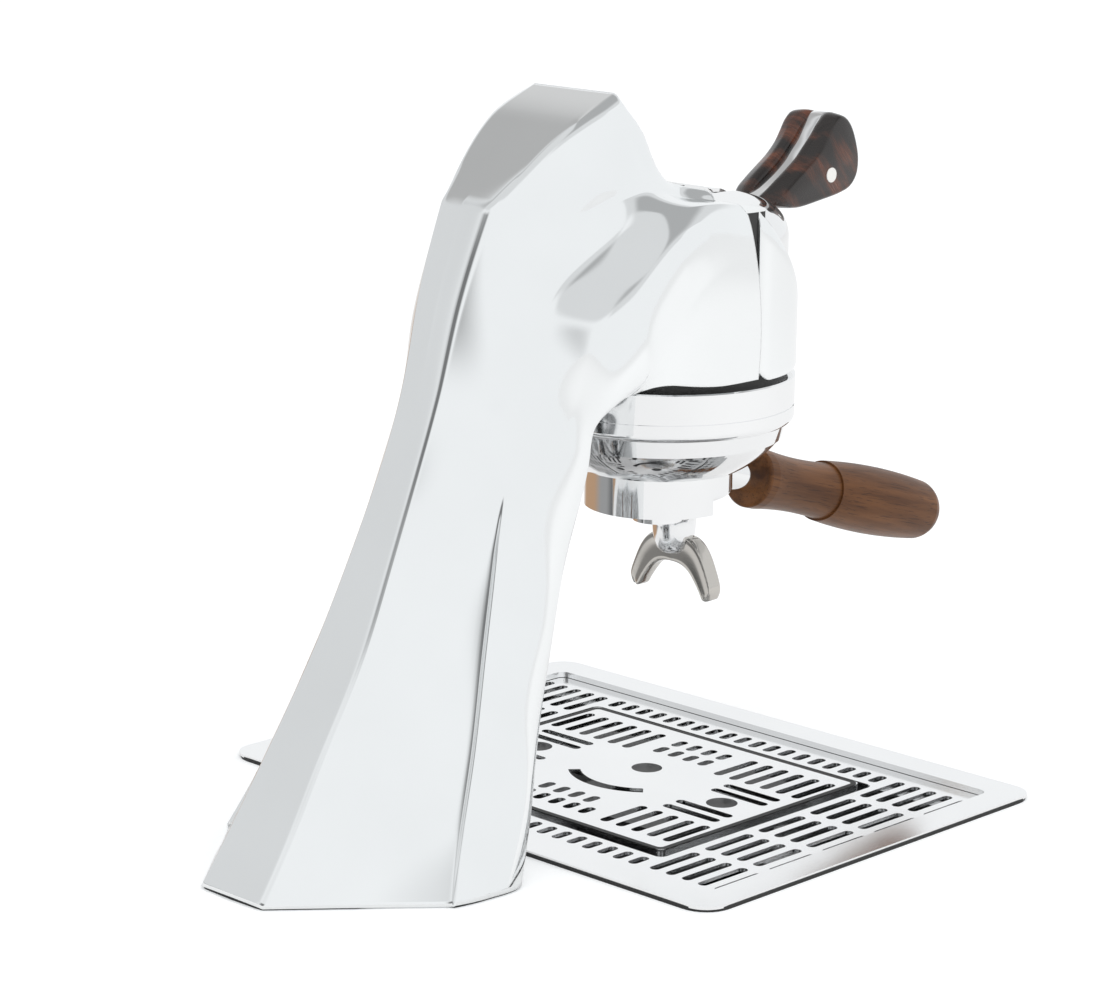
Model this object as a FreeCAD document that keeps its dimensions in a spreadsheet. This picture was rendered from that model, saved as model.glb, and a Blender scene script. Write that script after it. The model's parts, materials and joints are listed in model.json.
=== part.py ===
"""Counter-mounted espresso tap with its drop-in drip tray, as separate pieces.

Frame: millimetres, +Z up. The origin is the centre of the four counter bolts under the
tower, on the counter's top face. The barista stands on the -Y side, and the middle plane
is X = 0.
"""
import FreeCAD, Part
import math
import os
import Sketcher

os.makedirs("parts", exist_ok=True)

# Driving sizes, in millimetres and degrees
SIZES = {
    # Tower casting: bolts to group axis, and the general wall
    "reach": 205.0,
    "shell_wall": 5.0,
    # Tower section at the counter
    "foot_back": 64.0,
    "foot_back_half": 20.5,
    "foot_flare": 7.0,
    "foot_flare_half": 75.0,
    "foot_side": -33.0,
    "foot_side_half": 79.0,
    "foot_front": -47.0,
    "foot_front_half": 66.0,
    # Tower section at the shin
    "shin_height": 60.0,
    "shin_back": 26.0,
    "shin_back_half": 18.4,
    "shin_flare": -17.0,
    "shin_flare_half": 60.5,
    "shin_side": -60.0,
    "shin_side_half": 63.0,
    "shin_front": -71.0,
    "shin_front_half": 52.0,
    # Tower section at the waist
    "waist_height": 130.0,
    "waist_back": -14.5,
    "waist_back_half": 15.5,
    "waist_flare": -44.0,
    "waist_flare_half": 46.0,
    "waist_side": -84.0,
    "waist_side_half": 50.0,
    "waist_front": -94.0,
    "waist_front_half": 41.0,
    # Arch between the column and the hood, which the upper sections fan around
    "arch_axis_back": 83.0,
    "arch_axis_height": 182.0,
    "arch_radius": 23.0,
    "throat_out": 85.0,
    "throat_half": 13.2,
    "throat_flare": 61.0,
    "throat_flare_half": 43.0,
    "nape_angle": 40.0,
    "nape_out": 87.5,
    "nape_half": 14.8,
    "nape_flare": 62.0,
    "nape_flare_half": 43.0,
    "brow_angle": 66.0,
    "brow_out": 117.0,
    "brow_half": 17.3,
    "brow_flare": 74.0,
    "brow_flare_half": 42.0,
    "crown_angle": 84.0,
    "crown_out": 138.5,
    "crown_half": 23.0,
    "crown_flare": 88.0,
    "crown_flare_half": 41.0,
    "arch_side_half": 51.0,
    "arch_front_half": 43.0,
    # Crest plane of the head and the foot of its front slope, from the group axis
    "crest_back": 65.0,
    "crest_height": 336.0,
    "crest_half": 26.5,
    "slope_foot_back": 33.0,
    "slope_foot_height": 296.0,
    "slope_foot_half": 28.0,
    # Hood around the group
    "hood_radius": 64.0,
    "hood_wall": 4.0,
    "hood_bottom": 203.0,
    "hood_top": 284.0,
    "hood_shoulder": 24.0,
    "hood_front_edge": 5.5,
    "hood_cut_low": 238.0,
    "hood_cut_mid": 258.0,
    "hood_cut_mid_back": 8.9,
    "hood_cut_top_back": 18.0,
    "hood_slot_half": 38.0,
    "hood_slot_back": 23.0,
    "hood_root_back": 98.0,
    "hood_root_half": 49.0,
    "hood_root_top": 236.0,
    "shoulder_back": 20.0,
    "shoulder_inset": 3.2,
    # Tower base
    "base_plate_thickness": 8.0,
    "base_plate_gap": 0.8,
    "base_gasket_thickness": 1.0,
    "base_gasket_inset": 1.0,
    "counter_bolt_spacing_x": 64.0,
    "counter_bolt_spacing_y": 55.0,
    "counter_bolt_hole_radius": 4.0,
    "shell_screw_radius": 2.5,
    "shell_screw_length": 22.0,
    "shell_screw_head_radius": 5.0,
    "shell_screw_head_height": 3.0,
    "shell_boss_radius": 7.0,
    "shell_boss_height": 24.0,
    "shell_boss_front_half": 61.0,
    "shell_boss_front": -30.0,
    "shell_boss_back_half": 40.0,
    "shell_boss_back": 14.0,
    "fitting_radius": 6.6,
    "fitting_step": 1.4,
    "fitting_length": 18.0,
    "fitting_nut_radius": 10.0,
    "fitting_nut_height": 6.0,
    "fitting_half": 20.0,
    "gland_radius": 6.0,
    "gland_back": 22.0,
    # Tubes and cable inside the tower
    "tube_radius": 3.0,
    "cable_radius": 3.5,
    # Group rings
    "ring_radius": 63.9,
    "seam_height": 184.0,
    "upper_ring_height": 14.5,
    "upper_ring_groove": 0.6,
    "ring_lip_height": 5.0,
    "ring_round": 3.4,
    "ring_ledge_drop": 16.5,
    "ledge_radius": 58.0,
    "ledge_step": 1.2,
    "bowl_depth": 31.6,
    "bayonet_mouth": 37.2,
    "bayonet_chamber": 44.3,
    "shelf_rise": 8.6,
    "unlock_angle": 50.0,
    "lug_half_angle": 21.0,
    "lug_gap_angle": 3.0,
    "seal_outer": 60.0,
    "seal_top": 204.5,
    # Group head body
    "block_radius": 44.0,
    "block_top": 240.0,
    "block_rear_flat": 36.0,
    "flange_radius": 58.5,
    "flange_height": 6.0,
    "group_boss_drop": 9.0,
    "gasket_seat_drop": 2.5,
    "shower_face_rise": 3.0,
    "screen_gap": 0.1,
    "fit_gap": 0.2,
    "group_bolt_circle": 51.0,
    "group_bolt_radius": 2.5,
    "group_bolt_head": 4.3,
    "group_bolt_length": 30.0,
    "group_bolt_head_height": 3.3,
    # Gasket, diffuser and screen
    "gasket_outer": 36.9,
    "gasket_inner": 28.6,
    "gasket_thickness": 8.5,
    "screen_outer": 28.3,
    "screen_sheet": 0.6,
    "screen_drop": 1.6,
    "screen_hole_radius": 1.1,
    "screen_screw_radius": 2.5,
    "screen_screw_head": 5.5,
    "screen_screw_head_height": 2.2,
    "screen_screw_length": 18.0,
    # Heaters and probe in the group head
    "heater_radius": 5.0,
    "heater_length": 45.0,
    "heater_half": 24.0,
    "heater_back": 8.0,
    "heater_collar_radius": 6.5,
    "heater_collar_height": 6.0,
    "probe_radius": 2.0,
    "probe_length": 34.0,
    "probe_head_radius": 5.0,
    "probe_head_height": 8.0,
    "probe_offset": 22.0,
    # Bracket that carries the group from the tower's neck
    "bracket_half": 24.0,
    "bracket_plate": 6.0,
    "bracket_rear": 98.0,
    "bracket_upright_top": 226.0,
    "bracket_bolt_gap": 1.0,
    "bracket_upright_bolt_height": 220.0,
    "bracket_foot_bolt_length": 10.0,
    "bracket_bolt_radius": 3.0,
    "bracket_bolt_head": 5.0,
    "bracket_bolt_head_height": 6.0,
    "bracket_bolt_half": 16.0,
    # Three-way valve in the neck
    "valve_side": 28.0,
    "valve_body_height": 16.0,
    "valve_back": 66.0,
    "coil_height": 34.0,
    "coil_radius": 13.5,
    "plunger_radius": 4.0,
    "plunger_length": 20.0,
    "plunger_clearance": 0.3,
    "valve_spring_wire": 0.5,
    # Covers around the group
    "liner_outer": 57.0,
    "liner_wall": 1.6,
    "liner_top": 262.0,
    "liner_window_half": 30.0,
    "nose_inner": 60.4,
    "nose_bottom": 200.0,
    "nose_rear_edge": 4.6,
    "nose_slope": 0.87,
    "nose_slope_height": 271.5,
    "nose_foot_round": 3.0,
    "cap_radius": 59.0,
    "cap_wall": 1.8,
    "cap_top": 280.0,
    "cap_round": 17.0,
    "cap_bottom": 209.0,
    "cap_rear_edge": 3.6,
    "cap_tongue_half": 37.4,
    "cap_tongue_back": 22.0,
    "cap_tongue_bottom": 262.0,
    "cap_slot_half": 5.2,
    "cap_slot_front": 62.0,
    "cap_slot_back": 30.0,
    "bridge_half": 14.0,
    "bridge_bottom": 281.0,
    "bridge_top": 290.0,
    "bridge_front": 20.0,
    "bridge_back": 33.0,
    "bridge_chamfer": 6.0,
    "small_screw_radius": 1.5,
    "small_screw_head": 2.8,
    "small_screw_head_height": 1.5,
    "small_screw_length": 8.0,
    "small_screw_half": 7.0,
    "bridge_screw_back": 28.0,
    # Paddle: profile points from the group axis, in the middle plane
    "pivot_front": 33.0,
    "pivot_height": 256.0,
    "pivot_radius": 4.0,
    "pivot_clearance": 0.05,
    "shaft_proud": 0.5,
    "bush_radius": 6.0,
    "bush_flange": 1.0,
    "hub_radius": 9.0,
    "spine_half": 4.0,
    "ear_inner_half": 11.0,
    "ear_thickness": 4.0,
    "ear_half_width": 9.0,
    "paddle_root_front": 47.0,
    "paddle_root_height": 277.0,
    "paddle_back_low_front": 58.0,
    "paddle_back_low_height": 283.0,
    "paddle_top_front": 97.0,
    "paddle_top_height": 313.0,
    "paddle_nose_front": 125.0,
    "paddle_nose_drop": 21.0,
    "paddle_heel_front": 116.0,
    "paddle_heel_drop": 41.0,
    "paddle_chin_front": 66.0,
    "paddle_chin_height": 269.5,
    "paddle_top_round": 14.0,
    "paddle_nose_round": 26.0,
    "scale_thickness": 12.0,
    "scale_bevel": 7.0,
    "paddle_pin_radius": 3.6,
    "paddle_pin_front": 103.0,
    "paddle_pin_rise": 11.65,
    "paddle_pin_proud": 0.4,
    "spring_turns": 4,
    "sensor_width": 12.0,
    "sensor_height": 16.0,
    "sensor_depth": 4.0,
    # Portafilter
    "cup_radius": 35.5,
    "cup_floor_thickness": 5.0,
    "cup_heel_depth": 6.0,
    "cup_rim_radius": 36.4,
    "rim_rise": 11.0,
    "cup_bore": 30.6,
    "cup_depth": 28.0,
    "lug_radius": 43.6,
    "lug_thickness": 5.0,
    "basket_outer": 29.6,
    "basket_sheet": 0.8,
    "basket_depth": 25.0,
    "basket_rim_radius": 34.5,
    "basket_rim_thickness": 1.0,
    "basket_spring_drop": 6.0,
    "boss_radius": 12.0,
    "boss_drop": 14.0,
    "neck_radius": 7.8,
    "handle_axis_drop": 6.7,
    "neck_start": 35.0,
    "handle_slope": 16.0,
    "neck_length": 68.0,
    "handle_length": 150.0,
    "handle_collar_radius": 15.2,
    "handle_collar_length": 7.0,
    "handle_step_at": 58.0,
    "handle_step_radius": 15.4,
    "handle_step_depth": 1.0,
    "handle_tail_radius": 15.4,
    "handle_bolt_radius": 4.0,
    "handle_bolt_length": 70.0,
    "handle_bolt_in_neck": 14.0,
    # Twin spout
    "hub_top_radius": 10.8,
    "hub_tip_radius": 6.5,
    "hub_length": 17.0,
    "hub_bore": 3.5,
    "spout_front": 12.0,
    "spout_width": 13.0,
    "spout_centre_drop": 17.0,
    "spout_outer": 26.0,
    "spout_inner": 17.0,
    "spout_inner_drop": 5.0,
    "spout_tip_drop": 5.0,
    "spout_channel": 8.0,
    "spout_channel_depth": 4.0,
    # Drip tray
    "tray_width": 314.0,
    "tray_depth": 236.0,
    "tray_centre": -187.0,
    "tray_corner": 12.0,
    "tray_sheet": 1.5,
    "tray_gasket_thickness": 1.2,
    "tray_gasket_inset": 1.0,
    "flange_side": 16.0,
    "flange_end": 17.0,
    "well_corner": 5.0,
    "ledge_drop": 12.5,
    "ledge_width": 6.0,
    "basin_drop": 42.0,
    "drain_inset": 25.0,
    "drain_radius": 15.0,
    "spigot_wall": 3.0,
    "spigot_hose_radius": 14.0,
    "spigot_length": 34.0,
    "spigot_flange_radius": 22.0,
    "spigot_flange_thickness": 2.0,
    "spigot_nut_radius": 20.0,
    "spigot_nut_height": 8.0,
    # Grate
    "grate_gap": 0.5,
    "grate_top": -0.4,
    "grate_sheet": 1.5,
    "grate_skirt": 1.5,
    "slot_width": 5.0,
    "slot_pitch": 9.6,
    "short_slot_length": 11.5,
    "short_slot_count": 19,
    "short_slot_inset": 15.5,
    "end_slot_columns": 5,
    "end_slot_rows": 5,
    "end_slot_length": 31.0,
    "end_slot_row_pitch": 37.0,
    "end_slot_land": 7.0,
    "window_side": 49.0,
    "window_land": 3.75,
    "window_corner": 4.0,
    # Cup plate on the scale
    "plate_gap": 4.5,
    "plate_top": 1.0,
    "plate_sheet": 1.5,
    "plate_skirt": 6.0,
    "plate_corner": 3.0,
    "plate_slot_pitch": 9.8,
    "plate_slot_length": 30.0,
    "plate_slot_row_inset": 26.0,
    "plate_short_length": 10.0,
    "plate_short_row_inset": 17.0,
    "plate_short_row_pitch": 13.5,
    "plate_side_slot_length": 34.0,
    "plate_side_at": 61.0,
    "plate_side_inner": 12.5,
    "plate_side_outer": 21.5,
    "plate_hole_radius": 7.5,
    "plate_centre_hole_front": 14.0,
    "plate_arc_radius": 34.0,
    "plate_arc_half_angle": 42.0,
    "plate_arc_width": 6.0,
    "plate_arc_reach": 22.0,
    # Scale under the plate
    "scale_width": 120.0,
    "scale_depth": 88.0,
    "scale_wall": 2.0,
    "scale_height": 22.0,
    "scale_foot_height": 3.0,
    "scale_foot_radius": 6.0,
    "scale_corner": 6.0,
    "load_cell_length": 62.0,
    "load_cell_width": 12.7,
    "load_cell_height": 10.0,
    "load_cell_pad": 2.0,
    "load_cell_pad_length": 19.05,
    "load_cell_hole_radius": 3.2,
    "post_radius": 7.0,
    "post_clearance": 0.8,
    "spider_thickness": 3.0,
    "spider_width": 130.0,
    "spider_depth": 100.0,
    "spider_arm": 16.0,
    "scale_gland_at": 46.0,
    "scale_gland_radius": 6.0,
    "scale_gland_length": 16.0,
    "strainer_rim": 18.0,
    "strainer_sheet": 1.0,
    "strainer_cup_depth": 6.0,
    "strainer_gap": 0.4,
    "strainer_hole_radius": 1.6,
    # Fits and depths worked out from the pieces above
    "cup_round": 3.0,
    "hub_round": 2.0,
    "handle_collar_round": 2.0,
    "handle_waist_curve": 250.0,
    "handle_belly_curve": 400.0,
    "handle_tail_length": 12.0,
    "handle_tail_round": 16.0,
    "handle_tail_flat": 3.0,
    "plate_slot_inset": 47.0,
    "plate_near_inset": 56.5,
    "scale_foot_in": 12.0,
    "nose_rib_low": 205.5,
    "nose_rib_height": 3.0,
    "cap_rim_inner": 54.0,
    "bridge_step_back": 22.5,
    "spring_gap": 0.3,
    "paddle_root_depth": 6.0,
    "paddle_back_mid_front": 81.0,
    "paddle_waist": 18.75,
    "paddle_crown_front": 112.0,
    "scale_root_front": 76.0,
    "scale_root_drop": 0.4,
    "scale_root_step": 3.0,
    "return_wire": 0.6,
    "return_radius": 5.6,
    "return_turns": 3,
    "sensor_front": 17.0,
    "diffuser_gap": 1.2,
    "bowl_mouth_radius": 40.0,
    "bowl_round": 60.0,
    "tube_depth": 8.0,
    "tube_end_height": 233.0,
    "tube_bend": 9.0,
    "cable_bend": 12.0,
    "lead_radius": 1.5,
    "lead_bend": 3.0,
    "lead_height": 254.0,
    "loom_end_height": 258.0,
    "bracket_bolt_depth": 12.0,
    "plunger_seat_drop": 8.0,
    "valve_spring_length": 9.0,
}

doc = FreeCAD.newDocument("espresso_tap")
sheet = doc.addObject("Spreadsheet::Sheet", "sizes")
for row, (alias, value) in enumerate(SIZES.items(), start=1):
    sheet.set(f"A{row}", alias)
    sheet.set(f"B{row}", str(value))
    sheet.setAlias(f"B{row}", alias)
doc.recompute()


class Dim:
    """A size with its value and the formula that gives it from the sheet."""

    def __init__(self, value, text):
        self.value = float(value)
        self.text = text

    def __float__(self):
        return self.value

    def __add__(self, other):
        other = dim(other)
        return Dim(self.value + other.value, f"({self.text} + {other.text})")

    def __radd__(self, other):
        return dim(other) + self

    def __sub__(self, other):
        other = dim(other)
        return Dim(self.value - other.value, f"({self.text} - {other.text})")

    def __rsub__(self, other):
        return dim(other) - self

    def __mul__(self, other):
        other = dim(other)
        return Dim(self.value * other.value, f"({self.text} * {other.text})")

    def __rmul__(self, other):
        return dim(other) * self

    def __truediv__(self, other):
        other = dim(other)
        return Dim(self.value / other.value, f"({self.text} / {other.text})")

    def __neg__(self):
        return Dim(-self.value, f"(0 - {self.text})")


def dim(value):
    """The value as a Dim, where a plain number is its own formula."""
    return value if isinstance(value, Dim) else Dim(value, f"({float(value)})")


class Sizes:
    """The sheet's cells as named sizes."""

    def __getattr__(self, alias):
        return Dim(sheet.get(alias), f"sizes.{alias}")


s = Sizes()
NODES = []
PLANES = {"top": "XY_Plane", "front": "XZ_Plane", "side": "YZ_Plane"}
TURNS = {
    "up": FreeCAD.Rotation(),
    "down": FreeCAD.Rotation(FreeCAD.Vector(1, 0, 0), 180),
    "right": FreeCAD.Rotation(FreeCAD.Vector(0, 1, 0), 90),
    "back": FreeCAD.Rotation(FreeCAD.Vector(1, 0, 0), -90),
    "front": FreeCAD.Rotation(FreeCAD.Vector(1, 0, 0), 90),
}


# Helpers that tie objects to the sheet
def bind(item, prop, value):
    """Tie one property of an object to a formula of the sheet."""
    item.setExpression(prop, dim(value).text)


def place(item, x=0.0, y=0.0, z=0.0):
    """Tie an object's place to the sheet."""
    bind(item, ".Placement.Base.x", x)
    bind(item, ".Placement.Base.y", y)
    bind(item, ".Placement.Base.z", z)
    return item


def rod(radius, height, x=0.0, y=0.0, z=0.0, way="up"):
    """A round bar that starts at a point and runs one way."""
    item = doc.addObject("Part::Cylinder", "rod")
    item.Placement.Rotation = TURNS[way]
    bind(item, "Radius", radius)
    bind(item, "Height", height)
    return place(item, x, y, z)


def cone(low_radius, high_radius, height, x=0.0, y=0.0, z=0.0):
    """An upright cone."""
    item = doc.addObject("Part::Cone", "cone")
    bind(item, "Radius1", low_radius)
    bind(item, "Radius2", high_radius)
    bind(item, "Height", height)
    return place(item, x, y, z)


def slab(width, depth, height, x=0.0, y=0.0, z=0.0):
    """A block centred on x and y that stands on z."""
    item = doc.addObject("Part::Box", "slab")
    bind(item, "Length", width)
    bind(item, "Width", depth)
    bind(item, "Height", height)
    return place(item, dim(x) - dim(width) / 2, dim(y) - dim(depth) / 2, z)


def span(x0, x1, y0, y1, z0, z1):
    """A block between two corners."""
    item = doc.addObject("Part::Box", "span")
    bind(item, "Length", dim(x1) - x0)
    bind(item, "Width", dim(y1) - y0)
    bind(item, "Height", dim(z1) - z0)
    return place(item, x0, y0, z0)


def fuse(*items):
    """One solid from several."""
    item = doc.addObject("Part::MultiFuse", "fuse")
    item.Shapes = list(items)
    item.Refine = True
    return item


def cut(base, *tools):
    """A solid less its tools."""
    item = doc.addObject("Part::Cut", "cut")
    item.Base = base
    item.Tool = tools[0] if len(tools) == 1 else fuse(*tools)
    item.Refine = True
    return item


def common(first, second):
    """What two solids share."""
    item = doc.addObject("Part::MultiCommon", "common")
    item.Shapes = [first, second]
    item.Refine = True
    return item


def group(*items):
    """Separate solids kept together."""
    item = doc.addObject("Part::Compound", "group")
    item.Links = list(items)
    return item


def node(label, item, y=None):
    """Name a finished sub-part, and move it to its own place along Y."""
    item.Label = label
    if y is not None:
        bind(item, ".Placement.Base.y", y)
    NODES.append(item)
    return item


def body(label):
    """An empty body for sketched features."""
    item = doc.addObject("PartDesign::Body", label)
    item.Label = label
    return item


def arc_between(start, end, radius):
    """The arc from start to end, left-turning where the radius is positive."""
    middle = (start + end) / 2
    chord = end - start
    across = FreeCAD.Vector(-chord.y, chord.x, 0).normalize()
    rise = math.sqrt(max(radius * radius - chord.Length ** 2 / 4, 0.0))
    centre = middle + across * (rise if radius > 0 else -rise)
    first, last = (start, end) if radius > 0 else (end, start)
    angles = [math.atan2(p.y - centre.y, p.x - centre.x) for p in (first, last)]
    circle = Part.Circle(centre, FreeCAD.Vector(0, 0, 1), abs(radius))
    return Part.ArcOfCircle(circle, angles[0], angles[1])


def hold(drawing, kind, geometry, point, value):
    """Dimension one coordinate of a point, or lay it on an axis where it is nothing."""
    value = dim(value)
    if value.text == "(0.0)":
        axis = -2 if kind == "DistanceX" else -1
        drawing.addConstraint(Sketcher.Constraint("PointOnObject", geometry, point, axis))
        return
    index = drawing.addConstraint(Sketcher.Constraint(kind, -1, 1, geometry, point, value.value))
    bind(drawing, f"Constraints[{index}]", value)


def draw_loop(drawing, corners):
    """A closed outline: each corner is (x, y) or (x, y, radius of the arc that leaves it)."""
    points = [FreeCAD.Vector(float(c[0]), float(c[1]), 0) for c in corners]
    first = drawing.GeometryCount
    starts = []
    for index, corner in enumerate(corners):
        start = points[index]
        end = points[(index + 1) % len(points)]
        if len(corner) == 2:
            drawing.addGeometry(Part.LineSegment(start, end))
            starts.append((1, 2))
        else:
            drawing.addGeometry(arc_between(start, end, float(corner[2])))
            starts.append((1, 2) if float(corner[2]) > 0 else (2, 1))
    for index, corner in enumerate(corners):
        after = (index + 1) % len(corners)
        here = first + index
        drawing.addConstraint(
            Sketcher.Constraint("Coincident", here, starts[index][1], first + after, starts[after][0]))
        hold(drawing, "DistanceX", here, starts[index][0], corner[0])
        hold(drawing, "DistanceY", here, starts[index][0], corner[1])
        if len(corner) == 3:
            size = dim(corner[2])
            size = size if size.value > 0 else -size
            bound = drawing.addConstraint(Sketcher.Constraint("Radius", here, size.value))
            bind(drawing, f"Constraints[{bound}]", size)


def draw_circle(drawing, x, y, radius):
    """A circle held by its centre and radius."""
    centre = FreeCAD.Vector(float(x), float(y), 0)
    index = drawing.addGeometry(Part.Circle(centre, FreeCAD.Vector(0, 0, 1), float(radius)))
    hold(drawing, "DistanceX", index, 3, x)
    hold(drawing, "DistanceY", index, 3, y)
    bound = drawing.addConstraint(Sketcher.Constraint("Radius", index, float(radius)))
    bind(drawing, f"Constraints[{bound}]", radius)


def sketch(owner, face, loops=(), circles=(), height=0.0):
    """A sketch on one of a body's own planes."""
    drawing = owner.newObject("Sketcher::SketchObject", f"{owner.Name}_sketch")
    role = PLANES[face]
    drawing.AttachmentSupport = (next(f for f in owner.Origin.OriginFeatures if f.Role == role), [""])
    drawing.MapMode = "FlatFace"
    bind(drawing, ".AttachmentOffset.Base.z", height)
    for loop in loops:
        draw_loop(drawing, loop)
    for circle in circles:
        draw_circle(drawing, *circle)
    return drawing


def pad(owner, drawing, length, both_ways=False):
    """Raise a sketch from its plane."""
    item = owner.newObject("PartDesign::Pad", f"{owner.Name}_pad")
    item.Profile = drawing
    item.Midplane = both_ways
    bind(item, "Length", length)
    return item


def turned(label, profile, name_it=True, y=None):
    """A body turned about its upright axis from corners of radius and height."""
    owner = body(label)
    drawing = sketch(owner, "front", [profile])
    item = owner.newObject("PartDesign::Revolution", f"{label}_turn")
    item.Profile = drawing
    item.ReferenceAxis = (drawing, ["V_Axis"])
    item.Angle = 360
    if name_it:
        node(label, owner, y)
    return owner


def tube_profile(inner, outer, low, high):
    """The turned profile of a plain sleeve."""
    return [(inner, low), (outer, low), (outer, high), (inner, high)]


def box_loop(half_x, half_y, x=0.0, y=0.0, corner=None):
    """A rectangle about a point, with round corners where a corner radius is given."""
    x0, x1 = dim(x) - half_x, dim(x) + half_x
    y0, y1 = dim(y) - half_y, dim(y) + half_y
    if corner is None:
        return [(x0, y0), (x1, y0), (x1, y1), (x0, y1)]
    return [(x0 + corner, y0), (x1 - corner, y0, corner), (x1, y0 + corner), (x1, y1 - corner, corner),
            (x1 - corner, y1), (x0 + corner, y1, corner), (x0, y1 - corner), (x0, y0 + corner, corner)]


def screws(radius, length, head_radius, head_height, places, way="down"):
    """Cap screws: the head sits on the place, and the shank runs the given way."""
    made = []
    for x, y, z in places:
        sign = -1 if way == "down" else 1
        shank = rod(radius, length, x, y, z, way)
        head = rod(head_radius, head_height, x, y, z if way == "down" else dim(z) - head_height)
        made.append(fuse(shank, head))
    return group(*made)


def vec(x, y, z):
    """A point in space from named sizes."""
    return FreeCAD.Vector(float(x), float(y), float(z))


def feature(shape):
    """An object that holds a shape worked out here."""
    item = doc.addObject("Part::Feature", "shape")
    item.Shape = shape
    return item


axis_y = -s.reach

# Heights of the group and the portafilter, which hang from the seam between the two rings
bowl_mouth = s.seam_height - s.bowl_depth
shelf = bowl_mouth + s.shelf_rise
rim_top = shelf + s.rim_rise
cup_floor = rim_top - s.cup_depth
cup_bottom = cup_floor - s.cup_floor_thickness
hub_top = cup_bottom - s.boss_drop
hub_tip = hub_top - s.hub_length
spout_centre = hub_tip - s.spout_centre_drop
spout_tip = spout_centre - s.spout_tip_drop
screen_bottom = rim_top - s.screen_drop


# The tower casting: polygons on planes that rise up the column and fan round the arch
def inset(points, wall):
    """A closed convex outline moved inwards by a wall."""
    lines = []
    count = len(points)
    for index in range(count):
        p, q = points[index], points[(index + 1) % count]
        along = ((q[0] - p[0]), (q[1] - p[1]))
        size = math.hypot(*along)
        normal = (-along[1] / size, along[0] / size)
        lines.append(((p[0] + normal[0] * wall, p[1] + normal[1] * wall), along))
    moved = []
    for index in range(count):
        (p, a), (q, b) = lines[index - 1], lines[index]
        cross = a[0] * b[1] - a[1] * b[0]
        reach = ((q[0] - p[0]) * b[1] - (q[1] - p[1]) * b[0]) / cross
        moved.append((p[0] + a[0] * reach, p[1] + a[1] * reach))
    return moved


def station(y, z, angle, halves, wall=0.0):
    """A section wire: halves are (half-width, distance out along the plane), back to front."""
    right = [(float(w), float(v)) for w, v in halves]
    outline = right[::-1] + [(-w, v) for w, v in right]
    outline = inset(outline, wall) if wall else outline
    turn = math.radians(float(angle))
    points = [vec(u, float(y) + v * math.cos(turn), float(z) + v * math.sin(turn)) for u, v in outline]
    return Part.makePolygon(points + points[:1])


arch_y = s.arch_axis_back - s.reach
crest_y = s.crest_back - s.reach
FOOT = [(s.foot_back_half, s.foot_back), (s.foot_flare_half, s.foot_flare),
        (s.foot_side_half, s.foot_side), (s.foot_front_half, s.foot_front)]
SHIN = [(s.shin_back_half, s.shin_back), (s.shin_flare_half, s.shin_flare),
        (s.shin_side_half, s.shin_side), (s.shin_front_half, s.shin_front)]
slope_y = s.slope_foot_back - s.reach


def column_sections(wall):
    """Sections from the counter to the brow line, level first and then fanned."""
    waist = [(s.waist_back_half, s.waist_back), (s.waist_flare_half, s.waist_flare),
             (s.waist_side_half, s.waist_side), (s.waist_front_half, s.waist_front)]
    made = [station(0, s.base_gasket_thickness, 0, FOOT, wall), station(0, s.shin_height, 0, SHIN, wall),
            station(0, s.waist_height, 0, waist, wall)]
    fanned = [(0.0, s.throat_out, s.throat_half, s.throat_flare, s.throat_flare_half),
              (s.nape_angle, s.nape_out, s.nape_half, s.nape_flare, s.nape_flare_half),
              (s.brow_angle, s.brow_out, s.brow_half, s.brow_flare, s.brow_flare_half)]
    for angle, out, half, flare, flare_half in fanned:
        corners = fan_halves(out, half, flare, flare_half)
        made.append(station(arch_y, s.arch_axis_height, angle, corners, wall))
    return made


def fan_halves(out, half, flare, flare_half):
    """The four corners of a fanned section: back, flare, side and arch face."""
    side_out = s.arch_radius + s.arch_side_half - s.arch_front_half
    arch_face = (s.arch_front_half, s.arch_radius)
    return [(half, out), (flare_half, flare), (s.arch_side_half, side_out), arch_face]


def crown_section(wall):
    """The section over the crown, the last one that fans round the arch."""
    return station(arch_y, s.arch_axis_height, s.crown_angle,
                   fan_halves(s.crown_out, s.crown_half, s.crown_flare, s.crown_flare_half), wall)


def upright_section(y, top, half, wall):
    """A section on an upright plane across the neck."""
    out = top - s.arch_axis_height
    corners = fan_halves(out, half, s.crown_flare, s.crown_flare_half)
    return station(y, s.arch_axis_height, 90, corners, wall)


def slope_section(wall):
    """The foot of the head's front slope; the inside stops one wall short of it."""
    share = wall / float(s.crest_back - s.slope_foot_back)
    top = s.slope_foot_height + (s.crest_height - s.slope_foot_height) * share
    half = s.slope_foot_half + (s.crest_half - s.slope_foot_half) * share
    return upright_section(slope_y + wall, top, half, wall)


def shoulder_section(y, half, top, shoulder, wall):
    """An upright section of the hood: straight sides, then a chamfer to a flat top."""
    low = float(s.hood_bottom) - float(s.arch_axis_height)
    halves = [(dim(half) - shoulder, top - s.arch_axis_height),
              (half, top - s.arch_axis_height - shoulder), (half, low)]
    return station(y, s.arch_axis_height, 90, halves, wall)


def hood_sections(wall):
    """The shoulders that run from the neck into the round of the hood."""
    front = s.shoulder_back - s.reach
    back = s.hood_root_back - s.reach
    root_shoulder = s.hood_root_half - s.arch_front_half
    return [shoulder_section(back, s.hood_root_half, s.hood_root_top, root_shoulder, wall),
            shoulder_section(front, s.hood_radius - s.shoulder_inset, s.hood_top, s.hood_shoulder, wall)]


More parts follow.
